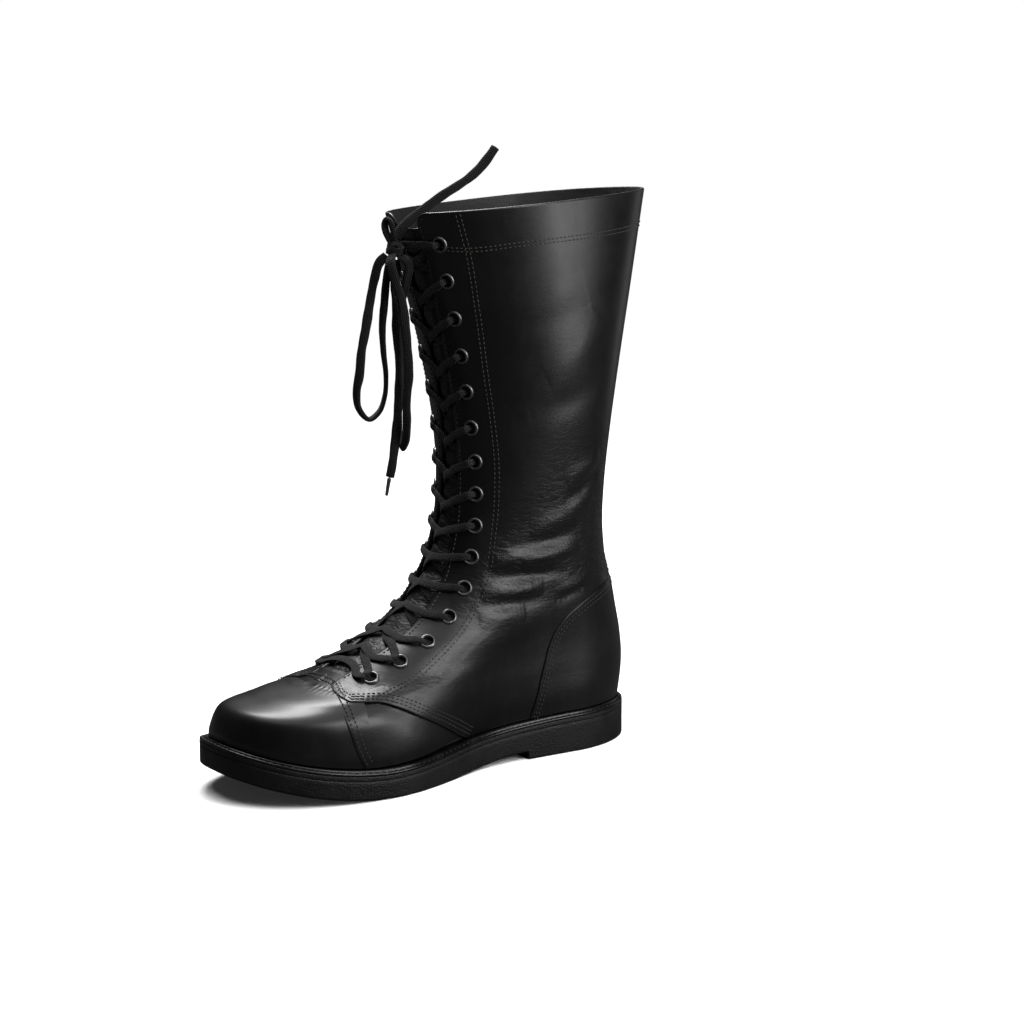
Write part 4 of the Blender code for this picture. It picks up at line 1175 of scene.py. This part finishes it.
# how far each row of stitches lies inside its edge, or to either side of its line
FACING_SIDES, FACING_INSET, SLANT_INSETS, COLLAR_SIDES = (-1.35, 1.35), 2.3, (2.2, 4.6), (-1.3, 1.3)
COUNTER_INSETS, SEAM_INSETS, CAP_INSETS, STAY_INSET = (2.4, 5.0), (2.0, 4.3, 6.6), (1.8, 5.0), 2.0
SEAM_STITCH_HEIGHT = 0.12


def make_upper_stitches():
    sides = (MEDIAL, LATERAL)
    up = np.linspace(0.205, 0.9985, 700)
    slant = np.linspace(VAMP_SEAM[-2], VAMP_SEAM[-1], 30)
    slant = np.vstack([slant, np.linspace(VAMP_SEAM[-1], FLAP_CORNER, 70)[1:]])
    rows = []
    for side in sides:
        rows += [beside(trace(FACING_STITCH, side), way, STITCH_HEIGHT) for way in FACING_SIDES]
        rows.append(beside(line_of(up, side * quarter_front(up)), -side * FACING_INSET, STITCH_HEIGHT))
        rows += [beside(slant * (1, side), -side * inset, STITCH_HEIGHT) for inset in SLANT_INSETS]
    add_stitches("facing_stitches", rows, THREAD)

    up, around = over_back(COLLAR_STITCH, COLLAR_MM, 700).T
    rows = [row_over(line_of(up + higher / skin.along[-1], around), STITCH_HEIGHT) for higher in COLLAR_SIDES]
    add_stitches("collar_stitches", rows, THREAD)

    line = over_back(COUNTER_LINE, COUNTER_MM, 600)
    rows = [inset_row(line, inset, COUNTER_STEP + STITCH_HEIGHT) for inset in COUNTER_INSETS]
    add_stitches("counter_stitches", rows, DARK_THREAD)

    rows = []
    for side in sides:
        seam = trace(VAMP_SEAM, side)
        rows += [beside(seam, -side * inset, SEAM_STITCH_HEIGHT) for inset in SEAM_INSETS]
    add_stitches("quarter_seam_stitches", rows, DARK_THREAD)

    front = saddle_line(TOE_CAP_LINE, 500)
    lines = [skin.shift(front, np.full(500, -inset)) for inset in CAP_INSETS]
    rows = [row_over(line[line[:, 0] > 0.004], VAMP_LIFT) for line in lines]
    add_stitches("cap_stitches", rows, DARK_THREAD)

    up = np.linspace(BACK_STAY[0][0] + 0.02, 0.985, 500)
    half = np.interp(up, *np.array(BACK_STAY).T) - STAY_INSET / half_perimeter(up)
    rows = [row_over(line_of(up, side * (1.0 - half)), STAY_STEP + STITCH_HEIGHT) for side in sides]
    add_stitches("stay_stitches", rows, DARK_THREAD)


def make_flap_edges():
    """The raw cut edge of each quarter where it stands on the vamp: a dull black bead, partly the real dyed
    edge and partly painted shadow of the groove under the flap.
    """
    up = np.linspace(0.006, FLAP_TIP.up, 500)
    parts = []
    for side in (MEDIAL, LATERAL):
        line = line_of(up, side * quarter_front(up))
        edge = beside(line, side * EDGE_SHADOW_BEAD.outside, EDGE_SHADOW_BEAD.height)
        parts.append(ribbon(edge.points, strip_out(*edge), EDGE_SHADOW_BEAD.width, EDGE_SHADOW_BEAD.thick))
    points, faces, uvs = join_ribbons(parts)
    beads = add_mesh("flap_edges_and_shadow", points, faces, EDGE_DYE_AND_SHADOW, uvs)


def inset_row(line, inside, height):
    """A row inside the counter's edge; the line passes the back, where round is 1."""
    row = row_over(line_of(*line.T), height)
    return row._replace(points=row.points - strip_out(*row) * inside)


# ---------------------------------------------------------------- eyelets

HOLE_CUT = 3.9
EYELET_PROFILE = [  # radius, height over the leather: back flange, barrel, front flange
    (4.9, -2.20), (4.8, -2.60), (4.1, -2.85), (3.55, -2.65), (3.45, -2.2), (3.45, 0.35), (3.55, 0.80),
    (3.80, 1.10), (4.15, 1.22), (4.50, 1.12), (4.82, 0.82), (5.08, 0.38), (5.15, -0.12),
]
EYELET_SIDES = 36


def half_gap(up):
    return float(np.interp(up, skin.up, skin.half_gap))


def across_round(up, across):
    """round of a place so far across from the throat's centre line."""
    return np.sign(across) * skin.facing_round(up, abs(across) - half_gap(up))


def make_eyelets():
    angles = np.linspace(0.0, 2 * np.pi, EYELET_SIDES, endpoint=False)[:, None]
    radius, lift = (column[:, None, None] for column in np.array(EYELET_PROFILE).T)
    faces = quads(numbered(len(EYELET_PROFILE), EYELET_SIDES), wrap=True)
    for side, name in ((MEDIAL, "medial"), (LATERAL, "lateral")):
        parts = []
        for row in range(EYELET_ROWS):
            up, around = skin.eyelet_up(row), side * skin.eyelet_round(row)
            centre, out = leather(up, around, 0.0), skin.out(up, around)
            along = unit(np.array([0.0, 0.0, 1.0]) - out * out[2])
            turn = np.cos(angles) * np.cross(along, out) + np.sin(angles) * along
            parts.append((centre + radius * turn + lift * out, faces))
        rings = add_mesh(f"eyelets_{name}", *join(parts), EYELET_METAL)
        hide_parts(*[f"eyelet_{name}_{row + 1:02d}" for row in range(EYELET_ROWS)])


# ---------------------------------------------------------------- lace in the throat

Stop = namedtuple("Stop", "part across height width thick", defaults=(LACE_WIDTH, LACE_THICKNESS))
Crossing = namedtuple("Crossing", "middle crown")
CROSSINGS = table(
    Crossing,  # top to bottom: part of the way down at which strands meet, and how far they stand off there
    *[(0.50, 0.0)] * 7, (0.48, 0.0), (0.34, 0.0), (0.10, 0.0), (-0.12, 0.0), (-0.40, 0.0), (-0.64, 0.0),
    (-0.92, 0.1),
)
FIRST_OVER_ROW = 12  # from here down, the strands also enter the next row from over the facing
BAR_RISE, BAR_CROWN = 1.05, -0.2
STRAND_STEP, HEADING_BLUR = 0.8, 4.0
PALER_FROM = (110.0, 210.0)  # heights between which the lace turns from its plain tone to the paler one, paler higher up
CROSSING_LIFT = 0.68  # of the upper strand over the middle of the two where they cross
OVER_FAR, UNDER_FAR = (0.17, 0.33, 0.48, 0.76, 0.94), (0.14, 0.32, 0.48, 0.76, 0.94)  # parts of the way on


def strand(row_from, row_to, side, stops):
    """A run of lace between two eyelet rows, as a ribbon."""
    start, end = skin.eyelet_up(row_from), skin.eyelet_up(row_to)
    points, outs = [], []
    for stop in stops:
        up = start + (end - start) * stop.part
        around = across_round(up, side * stop.across)
        outs.append(skin.out(up, around))
        points.append(leather(up, around, 0.0) + outs[-1] * stop.height)
    knots = running_length(points)
    at = np.linspace(0.0, knots[-1], max(8, int(knots[-1] / STRAND_STEP)))
    path = hermite(knots, np.array(points), at)
    normals = unit(between(at, knots, np.array(outs)))
    ahead = unit(np.gradient(path, axis=0))
    heading = ahead - normals * (ahead * normals).sum(axis=1, keepdims=True)
    flats = np.cross(np.cross(unit(blurred(heading, HEADING_BLUR)), normals), ahead)
    width, thick = between(at, knots, np.array([(stop.width, stop.thick) for stop in stops])).T
    return ribbon(path, flats, width, thick)


def rising_stops(reach, half, scale, lift):
    """Out of the eyelet, over its ring and the facing, to the facing's edge. scale is the part of
    the way to the next row that the strand takes before it meets the other, in halves."""
    return [
        Stop(0.0, reach - 0.7, -3.2, 3.4, 2.2),
        Stop(0.0, reach - 0.8, -0.8, 3.6, 2.0),
        Stop(0.012 * scale, reach - 1.5, 1.0, 4.0, 1.8),
        Stop(0.045 * scale, reach - 3.2, 2.25, 4.5, 1.6),
        Stop(0.09 * scale, reach - 4.8, 2.10, 5.0),
        Stop(0.15 * scale, (reach + half) / 2 - 1.0, 1.30),
        Stop(0.24 * scale, half + 0.4, 1.05 + lift * 0.3),
    ]


def crossed_stops(row, half, far, lift):
    """From where two strands cross to the next row's hole, at parts far of the way: under the
    facing, or at the instep over it."""
    low = half_gap(skin.eyelet_up(row + 1)) + EYELETS[row + 1].step
    if row >= FIRST_OVER_ROW:
        return [
            Stop(far[0], -half * 0.45, 0.7 + lift * 0.6),
            Stop(far[1], -(half - 1.5), 0.9),
            Stop(far[2], -(half + 3.0), 1.0),
            Stop(far[3], -(low - 5.0), 1.2, 4.8),
            Stop(far[4], -(low - 2.6), 2.2, 4.3, 1.6),
            Stop(0.99, -(low - 1.3), 1.2, 3.8, 1.8),
            Stop(1.0, -(low - 0.8), -0.8, 3.4, 2.0),
            Stop(1.0, -(low - 0.7), -3.2, 3.4, 2.2),
        ]
    return [
        Stop(far[0], -half * 0.40, 0.1 + CROSSINGS[row].crown * 0.6 + lift * 0.6),
        Stop(far[1], -(half - 2.4), -1.5),
        Stop(far[2], -(half + 1.2), -3.1),
        Stop(far[3], -(half + 8.0), -3.5),
        Stop(far[4], -(low - 0.6), -3.6, 4.4, 1.8),
        Stop(1.0, -low, -2.7, 3.5, 2.6),
    ]


def crossing_stops(row, over):
    """Up through one eyelet, over the facing and the throat, and on to the next row's hole.
    The top row's strands come from under the facing. over is +1 for the strand that lies on
    top where two cross."""
    half = half_gap(skin.eyelet_up(row))
    middle, crown = CROSSINGS[row]
    scale, rest = 2.0 * middle, 1.0 - middle
    lift = CROSSING_LIFT * over
    if row == 0:
        stops = [
            Stop(0.02, half + 12.0, -3.4),
            Stop(0.14, half + 6.0, -3.4),
            Stop(0.24, half + 0.5, -3.0),
            Stop(0.31, half - 2.6, -0.9),
        ]
    else:
        stops = rising_stops(half + EYELETS[row].step, half, scale, crown)
        stops.append(Stop(0.31 * scale, half - 2.6, 0.9 + crown * 0.7 + lift * 0.3))
    stops += [
        Stop(middle - 0.08 * scale, half * 0.42, 0.85 + crown + lift * 0.9),
        Stop(middle, 0.0, 0.70 + crown + lift),
    ]
    far = OVER_FAR if row >= FIRST_OVER_ROW else UNDER_FAR
    return stops + crossed_stops(row, half, middle + rest * np.array(far), lift)


def bar_stops(row, rise, crown):
    """Out of one eyelet, over the throat, bowed up it by rise rows, and down into the other."""
    half = half_gap(skin.eyelet_up(row))
    reach = half + EYELETS[row].step
    rising = rising_stops(reach, half, 0.0, crown)
    parts = 1.0 - smooth_step(half * 0.45, reach - 1.0, np.array([stop.across for stop in rising]))
    rising = [stop._replace(part=rise * part) for stop, part in zip(rising, parts)]
    falling = [stop._replace(across=-stop.across) for stop in rising[::-1]]
    return [*rising, Stop(rise, 0.0, 1.0 + crown), *falling]


def make_throat_lace():
    last = EYELET_ROWS - 1
    parts = []
    for row in range(last):
        for side in (MEDIAL, LATERAL):
            parts.append(strand(row, row + 1, side, crossing_stops(row, side)))
    parts.append(strand(0, 1, MEDIAL, bar_stops(0, 0.0, 0.0)))
    parts.append(strand(last, last - 1, MEDIAL, bar_stops(last, BAR_RISE, BAR_CROWN)))
    points, faces, uvs = join_ribbons(parts)
    # the lace's colour turns paler toward the top of the throat, by height alone
    paler_tone = smooth_step(*PALER_FROM, points[:, 2])
    lace = add_mesh("throat_lace", points, faces, LACE_BRAID, uvs, paler_tone)
    crossings = [f"lace_crossing_{row + 1:02d}" for row in range(EYELET_ROWS - 1)]
    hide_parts(*crossings, "lace_bar_top", "lace_bar_bottom")


# ---------------------------------------------------------------- sole and welt

SOLE_STEPS = 300 if FINE else 150
TREAD_PITCH, TREAD_DEPTH = 3.6, 0.7
TREAD_STEP, TREAD_COLUMNS = (1.0, 124) if FINE else (2.0, 50)
LOZENGE, TREAD_RIM = (0.22, 0.50), (0.0, 0.035)  # parts of the pitch and of the width over which it rises
PLAIN_BACK, PLAIN_FRONT = (HEEL_BREAST - 9, HEEL_BREAST - 7), (HEEL_BREAST + 5, HEEL_BREAST + 7)
PLAIN_HEEL, PLAIN_TOE = (2.0, 6.0), (SOLE_LENGTH - 6, SOLE_LENGTH - 2)
SOLE_PROFILE = [  # inset from the edge, height, and which surface it is measured from
    (1.3, 0.0, "bottom"), (0.75, 0.12, "bottom"), (0.28, 0.5, "bottom"), (0.03, 1.15, "bottom"),
    (0.0, 1.6, "bottom"), (0.0, -5.6), (0.0, -3.75), (0.10, -3.5), (0.42, -3.3), (0.48, -3.1),
    (0.30, -2.9), (0.04, -2.7), (0.0, -2.4), (0.0, -0.55), (0.12, -0.2), (0.5, 0.0), (5.0, 0.0),
]
WELT_PROFILE = [  # inset from the sole's edge and height over its top
    (0.55, 0.0), (0.22, 0.10), (0.05, 0.55), (0.06, 1.10), (0.28, 1.62), (0.72, 1.92), (1.16, 1.88),
    (1.48, 1.60), (1.66, 1.36), (2.02, 1.46), (2.16, 1.95), (2.22, 2.45), (2.50, 2.95), (2.98, 3.22),
    (3.46, 3.22), (3.86, 3.02), (4.6, 3.05), (8.8, 3.30),
]
WELT_STITCH = {"pitch": 4.3, "length": 3.3, "radius": 0.46, "lean": 0.12}
STITCH_CHANNEL = (1.86, 1.52)
SOLE = Section(
    -SOLE_LENGTH / 2, 0, SOLE_LENGTH / 2, 0, BALL_MEDIAL, BALL_LATERAL, HEEL_MEDIAL, HEEL_LATERAL,
    ARCH_HOLLOW, 0, TOE_LENGTH, HEEL_LENGTH, TOE_POWER, HEEL_POWER, TOE_SHIFT, 0.0,
)


def sole_stations():
    """Lengths from the heel's back, closer at both ends and across the heel's breast."""
    even = SOLE_LENGTH / 2 * (1.0 - np.cos(np.linspace(0.012, np.pi - 0.012, SOLE_STEPS)))
    breast = HEEL_BREAST + np.linspace(-0.4, BREAST_SLOPE + 0.4, 9)
    return np.unique(np.round(np.r_[even, breast], 3))


def outline(t, inset):
    """Sole outline moved inward: medial points heel to toe, then lateral back."""
    part = 1.0 - t / SOLE_LENGTH
    loop = np.vstack([ring_points(SOLE, part, MEDIAL), ring_points(SOLE, part, LATERAL)[::-1]])[:, :2]
    closed = np.vstack([loop[-1:], loop, loop[:1]])
    ahead = unit(closed[2:] - closed[:-2])
    return loop + np.stack([ahead[:, 1], -ahead[:, 0]], axis=1) * inset


def sole_ring(t, inset, height, base="top"):
    flat = outline(t, inset)
    if base == "top":
        surface = sole_top(SOLE_LENGTH / 2 - flat[:, 1])
    else:
        surface = sole_bottom(np.r_[t, t[::-1]])
    return np.column_stack([flat, surface + height])


def add_rings(name, rings, material):
    """A mesh through closed rings of points, one inside the other."""
    index = numbered(len(rings), len(rings[0]))
    return add_mesh(name, np.vstack(rings), quads(index, wrap=True), material)


def make_outsole():
    t = sole_stations()
    rings = [sole_ring(t, *row) for row in SOLE_PROFILE]
    sides = add_rings("outsole_sides", rings, SIDE_RUBBER)
    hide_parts("outsole")
    make_tread(rings[0], len(t))


def triangle_wave(value):
    return np.abs(value % 1.0 - 0.5) * 2


def make_tread(ring, count):
    """Underside with its fine waffle: small raised lozenges, and a plain strip at the breast."""
    medial, lateral = ring[:count], ring[count:][::-1]
    along = running_length(medial)
    breast = SOLE_LENGTH / 2 - HEEL_BREAST - np.array([-0.5, 0.0, 0.8, 1.6])
    breast = np.interp(breast, medial[::-1, 1], along[::-1])
    at = np.unique(np.r_[np.arange(0.0, along[-1], TREAD_STEP), along[-1], breast])
    part = np.linspace(0.0, 1.0, TREAD_COLUMNS)
    left, right = between(at, along, medial), between(at, along, lateral)
    grid = left[:, None] * (1 - part[None, :, None]) + right[:, None] * part[None, :, None]
    x, y = grid[..., 0], grid[..., 1]
    t = SOLE_LENGTH / 2 - y
    a, b = triangle_wave((x + y) / TREAD_PITCH), triangle_wave((x - y) / TREAD_PITCH)
    block = smooth_step(*LOZENGE, a) * smooth_step(*LOZENGE, b)
    rim = smooth_step(*TREAD_RIM, part) * smooth_step(*TREAD_RIM, 1.0 - part)
    plain = smooth_step(*PLAIN_BACK, t) * (1.0 - smooth_step(*PLAIN_FRONT, t))
    ends = smooth_step(*PLAIN_HEEL, t) * (1.0 - smooth_step(*PLAIN_TOE, t))
    grid[..., 2] = sole_bottom(t) + TREAD_DEPTH * (1.0 - block) * rim * (1.0 - plain) * ends
    faces = quads(numbered(*grid.shape[:2]))
    tread = add_mesh("outsole_tread", grid.reshape(-1, 3), faces, TREAD_RUBBER)


def make_welt():
    t = sole_stations()
    welt = add_rings("welt_beads", [sole_ring(t, *row) for row in WELT_PROFILE], WELT_RUBBER)
    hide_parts("welt")
    channel = sole_ring(t, *STITCH_CHANNEL)
    channel = evenly(np.vstack([channel, channel[:1]]), 1.0)
    outs = unit(np.cross(np.gradient(channel, axis=0), (0.0, 0.0, 1.0)))
    outs = unit(outs * 0.55 + np.array([0.0, 0.0, 0.85]))
    add_stitches("welt_stitches", [Row(channel, outs)], WELT_THREAD, **WELT_STITCH)


def make_insole():
    materials = bpy.data.objects["insole"].data.materials
    materials.clear()
    materials.append(INSOLE_BOARD)


# ---------------------------------------------------------------- floor and light

Softbox = namedtuple("Softbox", "name azimuth elevation distance size radiance")
SOFTBOXES = table(
    Softbox,  # seen from the boot, degrees from the toe round to the medial side; metres; W/sr/m2
    ("side_light", 108.0, 30.0, 1.20, (0.40, 0.70), 6.3),
    ("side_fill", 92.0, 44.0, 1.30, (0.50, 0.50), 2.0),
    ("side_light_low", 124.0, 5.0, 1.15, (0.30, 0.50), 5.5),
    ("high_light", -107.0, 62.0, 1.30, (0.66, 0.66), 13.0),
    ("toe_light", -122.0, 40.0, 1.35, (0.42, 0.48), 5.0),
    ("overhead", 90.0, 84.0, 1.30, (1.60, 1.20), 1.0),
    ("rim_light", -171.0, 8.0, 1.30, (0.30, 1.00), 0.5),
)
SKYLIGHT_STRENGTH, SKYLIGHT_SPREAD, SKYLIGHT_TILT = 3.65, 70.0, (-6.0, 10.0, 0.0)  # falls on the paper alone
LIT_HEIGHT = 0.16  # of the point that the lights face
FLOOR_SIZE, PAPER = 80.0, 0.86
PAPER_GLOW = 0.02  # the paper is lit from below a little, so that its shadow stays soft
FLOOR_BOUNCE = 0.035  # and is flagged off the boot, which mirrors little of it
BACKDROP = 1.0
ROOM_LIGHT = 0.03


def mix_for_camera(graph, seen, bounced):
    """What the camera sees, and what lights and mirrors see instead, as in a shot on a lit table."""
    is_camera = graph.node("LightPath", "Is Camera Ray", {})
    return graph.node("MixShader", 0, {0: is_camera, 1: bounced, 2: seen})


def make_floor():
    half = FLOOR_SIZE / 2
    mesh = bpy.data.meshes.new("floor")
    corners = [(-half, -half, 0), (half, -half, 0), (half, half, 0), (-half, half, 0)]
    mesh.from_pydata(corners, [], [(0, 1, 2, 3)])
    material, g, shader = new_material("floor_paper", grey(PAPER), 1.0)
    material.node_tree.nodes.remove(shader)
    paper, dim = (g.node("BsdfDiffuse", 0, {"Color": (*grey(c), 1.0)}) for c in (PAPER, FLOOR_BOUNCE))
    lit = g.node("AddShader", 0, {0: paper, 1: g.node("Emission", 0, {"Strength": PAPER_GLOW})})
    g.fill(material.node_tree.nodes["Material Output"], {0: mix_for_camera(g, lit, dim)})
    mesh.materials.append(material)
    floor = show("floor", mesh)
    return floor


def make_lights(floor):
    target = np.array([0.0, 0.0, LIT_HEIGHT])
    for box in SOFTBOXES:
        way = way_to(box.azimuth, box.elevation)
        data = bpy.data.lights.new(box.name, "AREA")
        data.shape = "RECTANGLE"
        data.size, data.size_y = box.size
        data.energy = box.radiance * np.pi * box.size[0] * box.size[1]
        lamp = show(box.name, data)
        lamp.location = target + way * box.distance
        aim(lamp, way)
    sky = bpy.data.lights.new("skylight", "SUN")
    sky.energy, sky.angle = SKYLIGHT_STRENGTH, np.radians(SKYLIGHT_SPREAD)
    lamp = show("skylight", sky)
    lamp.rotation_euler = np.radians(SKYLIGHT_TILT)
    lit = bpy.data.collections.new("lit_by_skylight")
    lit.objects.link(floor)
    lamp.light_linking.receiver_collection = lit


def make_world():
    world = bpy.data.worlds.new("studio")
    world.use_nodes = True
    g = Graph(world.node_tree)
    white, dim = (
        g.node("Background", 0, {"Color": (1.0, 1.0, 1.0, 1.0), "Strength": strength})
        for strength in (BACKDROP, ROOM_LIGHT)
    )
    g.fill(world.node_tree.nodes["World Output"], {0: mix_for_camera(g, white, dim)})
    bpy.context.scene.world = world


def main():
    loose = make_loose_lace()
    make_knot()
    make_aglet()
    for make in (make_quarters, make_vamp, make_toe_cap, make_counter, make_back_stay, make_tongue,
                 make_lining, make_upper_stitches, make_flap_edges, make_eyelets, make_throat_lace,
                 make_outsole, make_welt, make_insole):
        make()
    make_lights(make_floor())
    make_world()
    bpy.context.scene.view_settings.view_transform = "Standard"


main()
